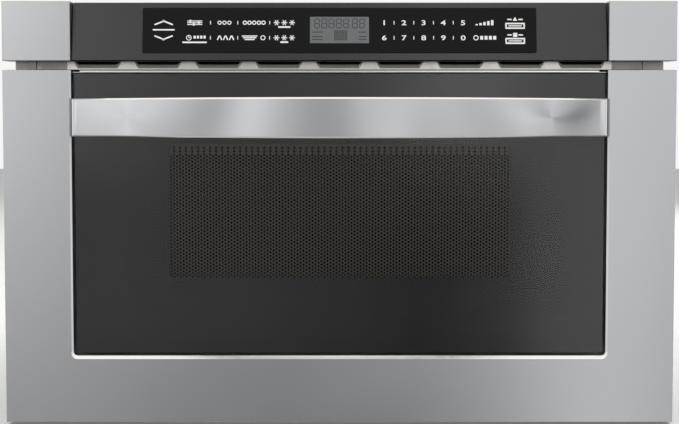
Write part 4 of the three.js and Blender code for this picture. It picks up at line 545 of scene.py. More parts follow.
class DRAWER_OT_stage(bpy.types.Operator):
    """Camera at the photograph's angle, pale floor and soft lights"""

    bl_idname = "drawer.stage"
    bl_label = "Stage"

    CAMERA_PLACE = (0.0, -1.7795, 0.2888)
    CAMERA_DOWN = math.radians(3.63)
    LENS_MM, SENSOR_MM = 87.38, 36
    TARGET = Vector((0.0, -0.2945, 0.2))
    # Softboxes that shade the matt pieces: name, place, width, height and power in watts.
    SOFTBOXES = (
        ("softbox_front", (-1.2, -2.6, 1.6), 1.6, 1.2, 34),
        ("softbox_top", (0.3, 0.1, 2.8), 2.6, 2.0, 60),
        ("softbox_back", (0.9, 2.6, 1.6), 1.8, 1.4, 34),
    )
    FLOOR_SIZE, FLOOR_DROP = 6, 0.2 * MM
    EVEN_COLOUR, EVEN_STRENGTH = "#e4e5e6", 0.62  # the light on matt surfaces
    BACKDROP_COLOUR = "#f6f6f5"
    # Studio walls as polished pieces mirror them: direction in degrees right of straight ahead, and
    # brightness, at three heights. Panels stand as peaks and the gaps between them as dips.
    WALL_SPAN = 60
    WALL_PEAK = 2.2  # a ramp holds brightness up to 1, so each is a share of this
    FLOOR_BAND = (
        (-60, 0.8), (-52, 1.4), (-46, 0.3), (-10, 0.12), (0, 0.03), (6, 0.02), (8.8, 1.35), (10.5, 1.1),
        (13, 0.3), (46, 0.3), (52, 1.4), (60, 0.8),
    )
    LOWER_WALL = (
        (-60, 1.0), (-52, 1.6), (-46, 0.6), (-12, 0.75), (-8, 0.66), (-4, 0.55), (0, 0.4), (3, 0.26),
        (5.5, 0.5), (7.5, 1.2), (10, 1.35), (13, 0.6), (33, 0.5), (37, 0.1), (46, 0.6), (52, 1.6),
        (60, 1.0),
    )
    UPPER_WALL = (
        (-60, 1.0), (-52, 1.6), (-44, 1.6), (-32, 2.1), (-25, 1.35), (-20, 0.7), (-14, 2.15), (-9, 1.25),
        (-4, 0.8), (0, 0.9), (4.5, 1.8), (7.5, 1.3), (11, 1.15), (16.5, 1.5), (23, 1.2), (29.5, 2.15),
        (33, 1.1), (36, 0.0), (41, 1.9), (46, 1.5), (52, 1.6), (60, 1.0),
    )
    CEILING, GROUND = 0.55, 0.26  # also shares of the peak
    # Each blend runs between two heights of the direction looked in: 1 is straight up, -1 straight down.
    LOWER_BLEND, UPPER_BLEND = (-0.2, -0.13), (-0.07, 0.01)
    CEILING_BLEND, GROUND_BLEND = (0.6, 0.85), (-0.45, -0.7)

    def execute(self, context):
        camera = bpy.data.objects.new("camera", bpy.data.cameras.new("camera"))
        camera.data.lens = self.LENS_MM
        camera.data.sensor_width = self.SENSOR_MM
        camera.location = self.CAMERA_PLACE
        camera.rotation_euler = (QUARTER - self.CAMERA_DOWN, 0, 0)
        context.collection.objects.link(camera)
        context.scene.camera = camera
        for name, place, width, height, power in self.SOFTBOXES:
            light = bpy.data.lights.new(name, "AREA")
            light.shape = "RECTANGLE"
            light.size = width
            light.size_y = height
            light.energy = power
            lamp = bpy.data.objects.new(name, light)
            lamp.location = place
            lamp.rotation_euler = (self.TARGET - Vector(place)).to_track_quat("-Z", "Y").to_euler()
            lamp.visible_camera = False
            lamp.visible_glossy = False
            context.collection.objects.link(lamp)
        self.make_floor(context)
        self.make_studio_walls(context)
        context.scene.view_settings.view_transform = "Standard"
        return {"FINISHED"}

    def make_floor(self, context):
        """A wide pale floor that the drawer stands on; the studio walls reach below it in reflections."""
        bm = bmesh.new()
        bmesh.ops.create_grid(bm, x_segments=2, y_segments=2, size=self.FLOOR_SIZE)
        mesh = bpy.data.meshes.new("studio_floor")
        bm.to_mesh(mesh)
        bm.free()
        floor = bpy.data.objects.new("studio_floor", mesh)
        floor.location.z = CAD_BOX[0][2] - self.FLOOR_DROP
        floor.visible_glossy = False
        material, _, shader, _ = start_material("pale_floor", FLOOR_COLOUR, roughness=0.7)
        shader.inputs["Base Color"].default_value = context.scene.drawer_colours.floor
        mesh.materials.append(material)
        context.collection.objects.link(floor)

    def make_studio_walls(self, context):
        """Even light for matt surfaces, and soft upright panels for those that mirror the studio."""
        world = bpy.data.worlds.new("studio")
        world.use_nodes = True
        tree = world.node_tree
        even = tree.nodes["Background"]
        even.inputs["Color"].default_value = linear(self.EVEN_COLOUR)
        even.inputs["Strength"].default_value = self.EVEN_STRENGTH
        direction = add_node(tree, "TexCoord").outputs["Generated"]
        axes = add_node(tree, "SeparateXYZ", {0: direction})
        ahead = add_node(tree, "Math", {0: axes.outputs["Y"]}, {1: -1.0}, operation="MULTIPLY")
        turn = add_node(tree, "Math", {0: axes.outputs["X"], 1: ahead.outputs[0]}, operation="ARCTAN2")
        span = math.radians(self.WALL_SPAN)
        along = add_node(
            tree, "MapRange", {"Value": turn.outputs[0]}, {"From Min": -span, "From Max": span})
        walls = [
            self.add_wall(tree, along, stops)
            for stops in (self.FLOOR_BAND, self.LOWER_WALL, self.UPPER_WALL)
        ]
        for share in (self.CEILING, self.GROUND):
            tone = add_node(tree, "RGB")
            tone.outputs[0].default_value = (share, share, share, 1.0)
            walls.append(tone.outputs[0])
        blends = (self.LOWER_BLEND, self.UPPER_BLEND, self.CEILING_BLEND, self.GROUND_BLEND)
        whole = walls[0]
        for wall, limits in zip(walls[1:], blends):
            whole = self.blend_by_height(tree, axes.outputs["Z"], limits, whole, wall)
        mirrored = add_node(tree, "Background", {"Color": whole}, {"Strength": self.WALL_PEAK})
        ray = add_node(tree, "LightPath")
        mixed = add_node(
            tree, "MixShader",
            {0: ray.outputs["Is Glossy Ray"], 1: even.outputs[0], 2: mirrored.outputs[0]})
        backdrop = add_node(
            tree, "Background", values={"Color": linear(self.BACKDROP_COLOUR), "Strength": 1.0})
        shown = add_node(
            tree, "MixShader",
            {0: ray.outputs["Is Camera Ray"], 1: mixed.outputs[0], 2: backdrop.outputs[0]})
        tree.links.new(shown.outputs[0], tree.nodes["World Output"].inputs["Surface"])
        # Only rays that reach the walls may light by them, because each kind of ray sees its own walls.
        world.cycles.sampling_method = "NONE"
        context.scene.world = world

    def add_wall(self, tree, along, stops):
        """A wall's brightness from left to right, softly changing between its stops."""
        ramp = add_node(tree, "ValToRGB", {"Fac": along.outputs[0]})
        ramp.color_ramp.interpolation = "EASE"
        elements = ramp.color_ramp.elements
        for index, (degrees, brightness) in enumerate(stops):
            inner = 0 < index < len(stops) - 1
            share = (degrees + self.WALL_SPAN) / (2 * self.WALL_SPAN)
            element = elements.new(share) if inner else elements[0 if index == 0 else -1]
            element.color = (*[brightness / self.WALL_PEAK] * 3, 1.0)
        return ramp.outputs["Color"]

    @staticmethod
    def blend_by_height(tree, height, limits, before, after):
        """One wall up to the first limit, another from the second one on, and a soft change in between."""
        share = add_node(
            tree, "MapRange", {"Value": height}, {"From Min": limits[0], "From Max": limits[1]},
            interpolation_type="SMOOTHSTEP")
        mixed = add_node(tree, "Mix", {"Factor": share.outputs[0]}, data_type="RGBA")
        tree.links.new(before, mixed.inputs["A"])
        tree.links.new(after, mixed.inputs["B"])
        return mixed.outputs["Result"]


# ------------------------------------------------------------------ the stainless front

class DRAWER_OT_front(bpy.types.Operator):
    """Stainless front frame with its bright bevel, and the ends of the control panel"""

    bl_idname = "drawer.front"
    bl_label = "Stainless front"

    GLASS_GAP = 1.3 * MM
    CORNER_R = 3.6 * MM
    SHEET = 1.2 * MM
    RETURN_DEPTH = 29.5 * MM
    SIDE_FLATTER = 0.4  # how much shallower than wide the bevels beside the glass are
    BEVEL_SMOOTH_DEGREES = 25  # less than the bevels' angle, so that they keep their own shine

    def execute(self, context):
        sizes = context.scene.drawer_sizes
        self.make_frame(sizes)
        for side, _ in SIDES:
            softened("end_cap_" + side, "front_steel", 0.3)
        return {"FINISHED"}

    def make_frame(self, sizes):
        """One folded U: two stiles and a rail, bevelled towards the glass."""
        low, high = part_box("door_frame")
        glass_low, glass_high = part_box("door_glass")
        half = glass_high.x + self.GLASS_GAP
        bottom = glass_low.z - self.GLASS_GAP
        outline = (
            (low.x, low.z), (high.x, low.z), (high.x, high.z), (half, high.z),
            (half, bottom), (-half, bottom), (-half, high.z), (low.x, high.z),
        )
        bm = bmesh.new()
        face = bm.faces.new([bm.verts.new((x, low.y, z)) for x, z in outline])
        extruded = bmesh.ops.extrude_face_region(bm, geom=[face], use_keep_orig=True)
        back = [v for v in extruded["geom"] if isinstance(v, bmesh.types.BMVert)]
        bmesh.ops.translate(bm, verts=back, vec=(0, high.y - low.y, 0))
        bmesh.ops.recalc_face_normals(bm, faces=bm.faces)
        corners = [e for e in bm.edges if self.is_opening_corner(e, half, bottom)]
        round_over(bm, corners, self.CORNER_R, 6)
        rim = [e for e in bm.edges if self.at_front(e, low.y) and not self.on_outside(e, low, high)]
        chamfer = round_over(bm, rim, sizes.opening_bevel, 1)
        bright = set(chamfer["faces"])
        narrower = sizes.opening_bevel - sizes.side_bevel
        shallower = narrower + self.SIDE_FLATTER * sizes.side_bevel
        for vert in {v for f in bright for v in f.verts}:
            if abs(vert.co.y - low.y) < SAME:
                rise = (vert.co.z - bottom + sizes.opening_bevel) / (self.CORNER_R + sizes.opening_bevel)
                vert.co.x -= math.copysign(narrower * min(rise, 1), vert.co.x)
            else:
                vert.co.y -= shallower * min((vert.co.z - bottom) / self.CORNER_R, 1)
        outer = [e for e in bm.edges if self.at_front(e, low.y) and self.on_outside(e, low, high)]
        round_over(bm, outer, sizes.steel_edge, 3)
        # The bevel takes the pale polished edge steel: its polish is real, its paleness is a painted
        # highlight.
        for f in bright:
            if f.is_valid:
                f.material_index = 1
        rear = [f for f in bm.faces if f.normal.y > 0.99 and f.calc_center_median().y > high.y - MM]
        bmesh.ops.delete(bm, geom=rear, context="FACES_ONLY")
        for vert in bm.verts:
            inside = abs(vert.co.x) < half + 0.1 * MM and vert.co.z > bottom - 0.1 * MM
            if inside and vert.co.y > high.y - MM:
                vert.co.y = low.y + self.RETURN_DEPTH
        bmesh.ops.solidify(bm, geom=bm.faces[:], thickness=self.SHEET)
        finish_piece(
            bm, "front_frame", ["front_steel", "bright_edge"], "drawer", ["door_frame"],
            self.BEVEL_SMOOTH_DEGREES)

    @staticmethod
    def is_opening_corner(edge, half, bottom):
        """Whether an edge runs back from a lower corner of the opening."""
        runs_back = abs(edge.verts[0].co.y - edge.verts[1].co.y) > MM
        return runs_back and all(
            abs(abs(v.co.x) - half) < SAME and abs(v.co.z - bottom) < SAME for v in edge.verts)

    @staticmethod
    def at_front(edge, front):
        """Whether an edge lies in the front plane, between it and a face that runs back."""
        return all(abs(v.co.y - front) < SAME for v in edge.verts) and is_sharp(edge)

    @staticmethod
    def on_outside(edge, low, high):
        """Whether an edge is on the outside of the frame, and not round the opening."""
        middle = (edge.verts[0].co + edge.verts[1].co) / 2
        outer_x = abs(abs(middle.x) - high.x) < SAME
        outer_z = min(abs(middle.z - low.z), abs(middle.z - high.z)) < SAME
        return outer_x or outer_z


# ------------------------------------------------------------------ the handle

class DRAWER_OT_handle(bpy.types.Operator):
    """Bowed steel handle on its two feet"""

    bl_idname = "drawer.handle"
    bl_label = "Handle"

    THICKNESS = 8 * MM
    END_HEIGHT = 34.2 * MM
    BACK_EDGE = 0.6 * MM

    def execute(self, context):
        sizes = context.scene.drawer_sizes
        low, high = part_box("handle_bar")
        middle_z = (low.z + high.z) / 2
        bow = high.y - low.y - self.THICKNESS
        bm = bmesh.new()
        add_block(bm, (low.x, low.y, low.z), (high.x, low.y + self.THICKNESS, high.z))
        along = [e for e in bm.edges if abs(e.verts[0].co.x - e.verts[1].co.x) > MM]
        bmesh.ops.subdivide_edges(bm, edges=along, cuts=sizes.handle_stations - 1, use_grid_fill=True)
        rim = [e for e in sharp_edges(bm) if all(v.co.y < low.y + SAME for v in e.verts)]
        bright = round_over(bm, rim, sizes.handle_edge, 1)["faces"]
        # The chamfer takes the pale polished edge steel: its polish is real, its paleness is a painted
        # highlight.
        for face in bright:
            face.material_index = 1
        back = [e for e in sharp_edges(bm) if all(v.co.y > low.y + sizes.handle_edge for v in e.verts)]
        round_over(bm, back, self.BACK_EDGE)
        taper = self.END_HEIGHT / (high.z - low.z) - 1
        for vert in bm.verts:
            share = (vert.co.x / high.x) ** 2
            vert.co.y += bow * share
            vert.co.z = middle_z + (vert.co.z - middle_z) * (1 + taper * share)
        finish_piece(
            bm, "bowed_handle", ["handle_steel", "bright_edge"], "drawer", ["handle_bar"])
        for side, _ in SIDES:
            softened("handle_mount_" + side, "handle_steel", 0.5)
        return {"FINISHED"}


# ------------------------------------------------------------------ the window

class DRAWER_OT_window(bpy.types.Operator):
    """Smoked glass, its printed border and trim, and the perforated screen behind it"""

    bl_idname = "drawer.window"
    bl_label = "Window"

    SHEET = 0.8 * MM
    PRINT_GAP = 0.05 * MM
    FILM = 0.6 * MM  # black film behind the screen: painted shade for the dark inside of the drawer, seen through the holes
    PRINT_LAP = 0.4 * MM  # clear glass round the pierced field
    PRINT_MARGIN, PRINT_CORNER_R = 1 * MM, 3 * MM
    PRINT_INSET = 10 * MM  # the border's first width, before its inner corners move to the screen's
    PAN_EDGE = 1 * MM
    PAN_LAP = 0.3  # how far the pan reaches over the field's edge, in pitches
    WELD = 0.05 * MM  # corners of neighbouring cells closer together than this are joined
    SPARSE_ROWS = 3  # rows at the top where only every other column is pierced

    def execute(self, context):
        sizes = context.scene.drawer_sizes
        self.make_screen(sizes)
        self.make_film()
        self.make_print(sizes.screen_border - self.PRINT_LAP)
        softened("door_glass", "door_glass", 0.5)
        # The trim takes the pale polished edge steel: its polish is real, its paleness is a painted
        # highlight.
        softened("glass_top_trim", "bright_edge", 0.3)
        return {"FINISHED"}

    def make_screen(self, sizes):
        """A drawn pan whose face is pierced in a hexagonal pattern."""
        low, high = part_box("perforated_screen")
        left, right = low.x + sizes.screen_border, high.x - sizes.screen_border
        bottom, top = low.z + sizes.screen_border, high.z - sizes.screen_border
        pitch = sizes.screen_pitch
        radius = pitch / math.sqrt(3)
        columns = 2 * round((right - left) / (3 * radius)) + 1
        rows = round((top - bottom) / pitch)
        step_x = (right - left) / columns
        step_z = (top - bottom) / rows
        stretch = (step_x / (1.5 * radius), 1, step_z / pitch, 1)
        turn = Matrix.Rotation(QUARTER, 4, "X") @ Matrix.Rotation(math.pi / 6, 4, "Z")
        bm = bmesh.new()
        for column in range(-1, columns + 1):
            for row in range(-1, rows + 1):
                x = left + (column + 0.5) * step_x
                z = bottom + (row + 0.5 + (column % 2) / 2) * step_z
                place = Matrix.Translation((x, low.y + self.PRINT_GAP, z))
                place @= Matrix.Diagonal(stretch) @ turn
                bmesh.ops.create_circle(bm, cap_ends=True, radius=radius, segments=6, matrix=place)
        bmesh.ops.remove_doubles(bm, verts=bm.verts, dist=self.WELD)
        pierced = []
        for face in bm.faces:
            centre = face.calc_center_median()
            column = int((centre.x - left) / step_x)
            inside = left < centre.x < right and bottom < centre.z < top
            if inside and (centre.z < top - self.SPARSE_ROWS * step_z or column % 2 == 1):
                pierced.append(face)
        bmesh.ops.inset_individual(bm, faces=pierced, thickness=sizes.screen_web, use_even_offset=True)
        bmesh.ops.delete(bm, geom=pierced, context="FACES_ONLY")
        bmesh.ops.recalc_face_normals(bm, faces=bm.faces)
        bmesh.ops.solidify(bm, geom=bm.faces[:], thickness=self.SHEET - 2 * self.PRINT_GAP)
        finish_piece(bm, "pierced_field", ["screen"], "drawer", smooth=0)
        self.make_pan(low, sizes.screen_border - self.PAN_LAP * pitch)

    def make_pan(self, low, margin):
        """The pan round the pierced field: the field fills the window in its face."""
        bm = solid_copy("perforated_screen")
        plates = [f for f in bm.faces if abs(f.normal.y) > 0.9 and f.calc_center_median().y < low.y + MM]
        for plate in plates:
            bmesh.ops.inset_individual(bm, faces=[plate], thickness=margin)
        bmesh.ops.delete(bm, geom=plates, context="FACES_ONLY")
        rims = [e for e in bm.edges if e.is_boundary]
        bmesh.ops.bridge_loops(bm, edges=rims)
        bmesh.ops.recalc_face_normals(bm, faces=bm.faces)
        front = [e for e in sharp_edges(bm) if min(v.co.y for v in e.verts) < low.y + SAME]
        round_over(bm, front, self.PAN_EDGE, 3)
        finish_piece(bm, "screen_pan", ["screen"], "drawer", ["perforated_screen"])

    def make_film(self):
        """Black film in the pan: painted shade for the dark inside of the drawer, seen through the screen's
        holes; from inside the drawer it looks pierced.
        """
        low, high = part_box("perforated_screen")
        inside = self.SHEET + self.PRINT_GAP
        bm = bmesh.new()
        add_block(
            bm, (low.x + inside, low.y + inside, low.z + inside),
            (high.x - inside, low.y + inside + self.FILM, high.z - inside))
        round_over(bm, sharp_edges(bm), self.FILM / 4, 1)
        # Its front is the black film, painted shade seen through the holes; its back shows the pierced
        # enamel.
        for face in bm.faces:
            face.material_index = 1 if face.normal.y > 0.9 else 0
        finish_piece(bm, "steam_film", ["film", "inner_screen"], "drawer")

    def make_print(self, border):
        """Black border printed on the back of the glass, open in front of the screen."""
        glass_low, glass_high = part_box("door_glass")
        screen_low, screen_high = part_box("perforated_screen")
        left, right = glass_low.x + self.PRINT_MARGIN, glass_high.x - self.PRINT_MARGIN
        bottom, top = glass_low.z + self.PRINT_MARGIN, glass_high.z - self.PRINT_MARGIN
        y = glass_high.y + self.PRINT_GAP
        outline = ((left, bottom), (right, bottom), (right, top), (left, top))
        bm = bmesh.new()
        sheet = bm.faces.new([bm.verts.new((x, y, z)) for x, z in outline])
        bmesh.ops.inset_individual(bm, faces=[sheet], thickness=self.PRINT_INSET)
        for vert in sheet.verts:
            vert.co.x = math.copysign(screen_high.x - border, vert.co.x)
            upper = vert.co.z > (glass_low.z + glass_high.z) / 2
            vert.co.z = screen_high.z - border if upper else screen_low.z + border
        corners = list(sheet.verts)
        bmesh.ops.delete(bm, geom=[sheet], context="FACES_ONLY")
        bmesh.ops.bevel(
            bm, geom=corners, offset=self.PRINT_CORNER_R, offset_type="OFFSET", affect="VERTICES",
            segments=4, profile=0.5, material=-1)
        bmesh.ops.recalc_face_normals(bm, faces=bm.faces)
        bmesh.ops.solidify(bm, geom=bm.faces[:], thickness=self.PRINT_GAP)
        finish_piece(bm, "glass_border_print", ["glass_print"], "drawer")


# ------------------------------------------------------------------ the control panel

class DRAWER_OT_panel_face(bpy.types.Operator):
    """Leaning fascia with its touch film, display and legends"""

    bl_idname = "drawer.panel_face"
    bl_label = "Control panel"

    LEAN = math.radians(10.9)
    GLASS_T = 3 * MM
    # All sizes below are in millimetres, and places from the fascia's middle and up from its lower edge.
    FILM_FRONT, LCD_FRONT = -1.3, -1.1  # the fronts of the touch film and the display, before the fascia
    INK = 0.06
    UPPER_ROW, LOWER_ROW = 34.2, 20.3
    DIGITS_FROM, DIGIT_PITCH = 40.3, 17.8
    DIGIT_HEIGHT, DIGIT_BOLD = 4.4, 0.12
    DIGIT_WIDTH = 1.45  # how much wider than the font's the digits are
    FONT_DIGIT = 0.7  # a digit's height as a share of the font's size
    LEFT_KEYS = (-158.6, -130.6, -103.8, -77.0, -49.8)
    RIGHT_KEYS = (130.8, 158.4)
    TICKS = (-116.4, -91.8, -63.0)
    TICK_WIDTH, TICK_HEIGHT = 0.7, 3.2
    # The display: digits of seven segments, a matrix of dots, and two stacks of lines.
    CELLS, CELLS_FROM, CELL_PITCH, CELL_UP = 7, -20.3, 6.55, 33.6
    CELL_HEIGHT, CELL_WIDTH, SEGMENT = 8.2, 4.4, 0.75
    LAST_GROUP, GROUP_GAP = 5, 1.4  # the first digit of the last group, and the gap before it
    DOT_COLUMNS, DOT_ROWS, DOT_PITCH, DOT = 9, 7, 1.35, 1.05
    DOTS_FROM, DOTS_UP = -4.4, 18.6
    LINES, LINES_UP, LINE_HEIGHT = ((-20.0, 9.5), (21.0, 7.0)), (25.6, 21.4, 18.8), 0.9

    def execute(self, context):
        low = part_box("fascia_glass")[0]
        self.panel = Matrix.Translation((0, low.y, low.z + self.GLASS_T * math.sin(self.LEAN)))
        self.panel @= Matrix.Rotation(-self.LEAN, 4, "X") @ Matrix.Scale(MM, 4)
        softened("fascia_glass", "fascia_glass", 0.4)
        softened("touch_panel", "touch_film", 0.25)
        softened("lcd_display", "lcd", 0.2)
        self.make_digits()
        self.make_pictograms()
        self.make_display()
        return {"FINISHED"}

    def bar(self, bm, x, up, width, height, turn=0.0):
        """A flat bar of ink round a point."""
        place = Matrix.Translation((x, 0, up)) @ Matrix.Rotation(turn, 4, "Y")
        place @= Matrix.Diagonal((width, 1, height, 1)) @ Matrix.Rotation(QUARTER, 4, "X")
        bmesh.ops.create_grid(bm, x_segments=1, y_segments=1, size=0.5, matrix=place)

    def ring(self, bm, x, up, radius, line, segments=20):
        """A ring of ink, or a disc if its line is as wide as its radius."""
        place = Matrix.Translation((x, 0, up)) @ Matrix.Rotation(QUARTER, 4, "X")
        made = bmesh.ops.create_circle(bm, cap_ends=True, radius=radius, segments=segments, matrix=place)
        if line < radius:
            face = made["verts"][0].link_faces[0]
            bmesh.ops.inset_individual(bm, faces=[face], thickness=line)
            bmesh.ops.delete(bm, geom=[face], context="FACES_ONLY")

    def ink_piece(self, bm, name, material, front, slot):
        """Gives flat ink its thickness and lays it on the leaning panel."""
        bmesh.ops.recalc_face_normals(bm, faces=bm.faces)
        facing_back = [f for f in bm.faces if f.normal.y > 0]
        bmesh.ops.reverse_faces(bm, faces=facing_back)
        bmesh.ops.solidify(bm, geom=bm.faces[:], thickness=self.INK)
        bmesh.ops.transform(bm, matrix=Matrix.Translation((0, front - self.INK, 0)), verts=bm.verts)
        bmesh.ops.transform(bm, matrix=self.panel, verts=bm.verts)
        finish_piece(bm, name, [material], "chassis", smooth=0)

    def make_digits(self):
        """Wide digits in two rows, with short ticks between them."""
        bm = bmesh.new()
        for up, digits in ((self.UPPER_ROW, "12345"), (self.LOWER_ROW, "67890")):
            for index, digit in enumerate(digits):
                x = self.DIGITS_FROM + index * self.DIGIT_PITCH
                self.add_text(bm, digit, x, up)
                if index:
                    self.bar(bm, x - self.DIGIT_PITCH / 2, up, self.TICK_WIDTH, self.TICK_HEIGHT)
        self.ink_piece(bm, "keypad_digits", "legend", self.FILM_FRONT, "white_plastic")

    def add_text(self, bm, text, x, up):
        """A digit as flat faces, with its middle at a place on the panel."""
        curve = bpy.data.curves.new("digit", "FONT")
        curve.body = text
        curve.size = self.DIGIT_HEIGHT / self.FONT_DIGIT
        curve.align_x = "CENTER"
        curve.offset = self.DIGIT_BOLD
        curve.resolution_u = 3
        holder = bpy.data.objects.new("digit", curve)
        mesh = bpy.data.meshes.new_from_object(holder)
        place = Matrix.Translation((x, 0, up - self.DIGIT_HEIGHT / 2))
        place @= Matrix.Rotation(QUARTER, 4, "X")
        mesh.transform(place @ Matrix.Diagonal((self.DIGIT_WIDTH, 1, 1, 1)))
        bm.from_mesh(mesh)
        bpy.data.objects.remove(holder)
        bpy.data.curves.remove(curve)
        bpy.data.meshes.remove(mesh)

    def make_pictograms(self):
        """Plain symbols for the functions, in two rows, with ticks between some of them."""
        bm = bmesh.new()
        rows = self.UPPER_ROW, self.LOWER_ROW
        self.draw_door_and_setup(bm, *rows, *self.LEFT_KEYS[:2])
        self.draw_foods(bm, *rows, *self.LEFT_KEYS[2:])
        self.draw_power_and_start(bm, *rows, *self.RIGHT_KEYS)
        for x in self.TICKS:
            for row in rows:
                self.bar(bm, x, row, self.TICK_WIDTH, self.TICK_HEIGHT)
        self.ink_piece(bm, "keypad_symbols", "legend", self.FILM_FRONT, "white_plastic")

    def draw_door_and_setup(self, bm, up, down, door, setup):
        """Arrows up and down round a line, three sliders, and a clock beside a row of squares."""
        for row, point in ((up, 1), (down, -1)):
            for side in (-1, 1):
                self.bar(bm, door + side * 3.6, row, 10.0, 1.3, side * point * math.radians(22))
        self.bar(bm, door, (up + down) / 2 + 0.4, 19.6, 1.3)
        for offset in (1.6, 0.0, -1.6):
            self.bar(bm, setup, up + offset, 13.5, 0.8)
        for knob, offset in ((-4.0, 1.6), (3.6, 0.0), (-1.0, -1.6)):
            self.ring(bm, setup + knob, up + offset, 1.2, 1.2, 10)
        clock = setup - 5.2
        self.ring(bm, clock, down, 2.5, 0.7)
        self.bar(bm, clock, down + 0.8, 0.6, 1.9)
        self.bar(bm, clock + 0.6, down, 1.7, 0.6)
        for index in range(4):
            self.bar(bm, setup + index * 3.0, down + 0.6, 2.0, 2.6)
        self.bar(bm, setup, down - 4.2, 22.0, 1.4)

    def draw_foods(self, bm, up, down, melt, corn, frost):
        """Drops over heat waves, grains over a dish and a ring, and flakes of frost over lines."""
        for index in range(3):
            self.ring(bm, melt - 4.4 + index * 4.4, up, 1.9, 0.8, 14)
            self.bar(bm, melt - 5.4 + index * 5.4, down, 1.1, 4.4, math.radians(24))
            self.bar(bm, melt - 3.2 + index * 5.4, down, 1.1, 4.4, math.radians(-24))
        for index in range(5):
            self.ring(bm, corn - 8.4 + index * 4.2, up, 2.0, 0.9, 12)
        for rise, width in ((0.0, 12.0), (-1.6, 9.0), (1.6, 14.0)):
            self.bar(bm, corn - 4.0, down + rise, width, 1.0)
        self.ring(bm, corn + 8.0, down, 2.3, 0.8, 14)
        for row, below in ((up, 11.0), (down, 7.0)):
            for index in range(3):
                for turn in (0, 60, 120):
                    self.bar(bm, frost - 7.0 + index * 7.0, row, 5.2, 0.8, math.radians(turn))
            self.bar(bm, frost, row - 4.0, below, 1.5)

    def draw_power_and_start(self, bm, up, down, power, start):
        """Rising steps over a ring and squares, then a triangle and a square, each over a frame."""
        for index in range(5):
            self.bar(bm, power - 7.0 + index * 3.5, up - 1.8 + 0.45 * index, 2.2, 1.2 + 0.9 * index)
        self.ring(bm, power - 7.8, down, 2.4, 0.8)
        for index in range(4):
            self.bar(bm, power - 2.6 + index * 3.9, down, 2.7, 3.4)
        self.ring(bm, start, up + 3.0, 2.4, 2.4, 3)
        self.bar(bm, start, down + 2.6, 3.8, 3.8)
        for row in (up + 3.0, down + 2.6):
            for side in (-1, 1):
                self.bar(bm, start + side * 5.0, row, 4.0, 1.2)
        for row in (up - 2.9, down - 2.9):
            for side in (-1, 1):
                self.bar(bm, start, row + side * 2.1, 17.6, 1.4)
                self.bar(bm, start + side * 8.2, row, 1.3, 3.0)
            self.bar(bm, start, row, 12.0, 1.0)

    def make_display(self):
        """Seven-segment digits at rest, a dot matrix and two stacks of lines in the display."""
        bm = bmesh.new()
        for index in range(self.CELLS):
            gap = self.GROUP_GAP if index >= self.LAST_GROUP else 0
            self.draw_cell(bm, self.CELLS_FROM + index * self.CELL_PITCH + gap)
        for column in range(self.DOT_COLUMNS):
            for row in range(self.DOT_ROWS):
                x = self.DOTS_FROM + column * self.DOT_PITCH
                self.bar(bm, x, self.DOTS_UP + row * self.DOT_PITCH, self.DOT, self.DOT)
        for x, length in self.LINES:
            for up in self.LINES_UP:
                self.bar(bm, x, up, length, self.LINE_HEIGHT)
        self.ink_piece(bm, "display_segments", "lcd_ink", self.LCD_FRONT, "lcd")

    def draw_cell(self, bm, x):
        """One digit's seven segments."""
        for level in (-1, 0, 1):
            up = self.CELL_UP + level * self.CELL_HEIGHT / 2
            self.bar(bm, x, up, self.CELL_WIDTH - self.SEGMENT, self.SEGMENT)
        for level in (-1, 1):
            up = self.CELL_UP + level * self.CELL_HEIGHT / 4
            for side in (-1, 1):
                length = self.CELL_HEIGHT / 2 - self.SEGMENT
                self.bar(bm, x + side * self.CELL_WIDTH / 2, up, self.SEGMENT, length)


# ------------------------------------------------------------------ the vent strip

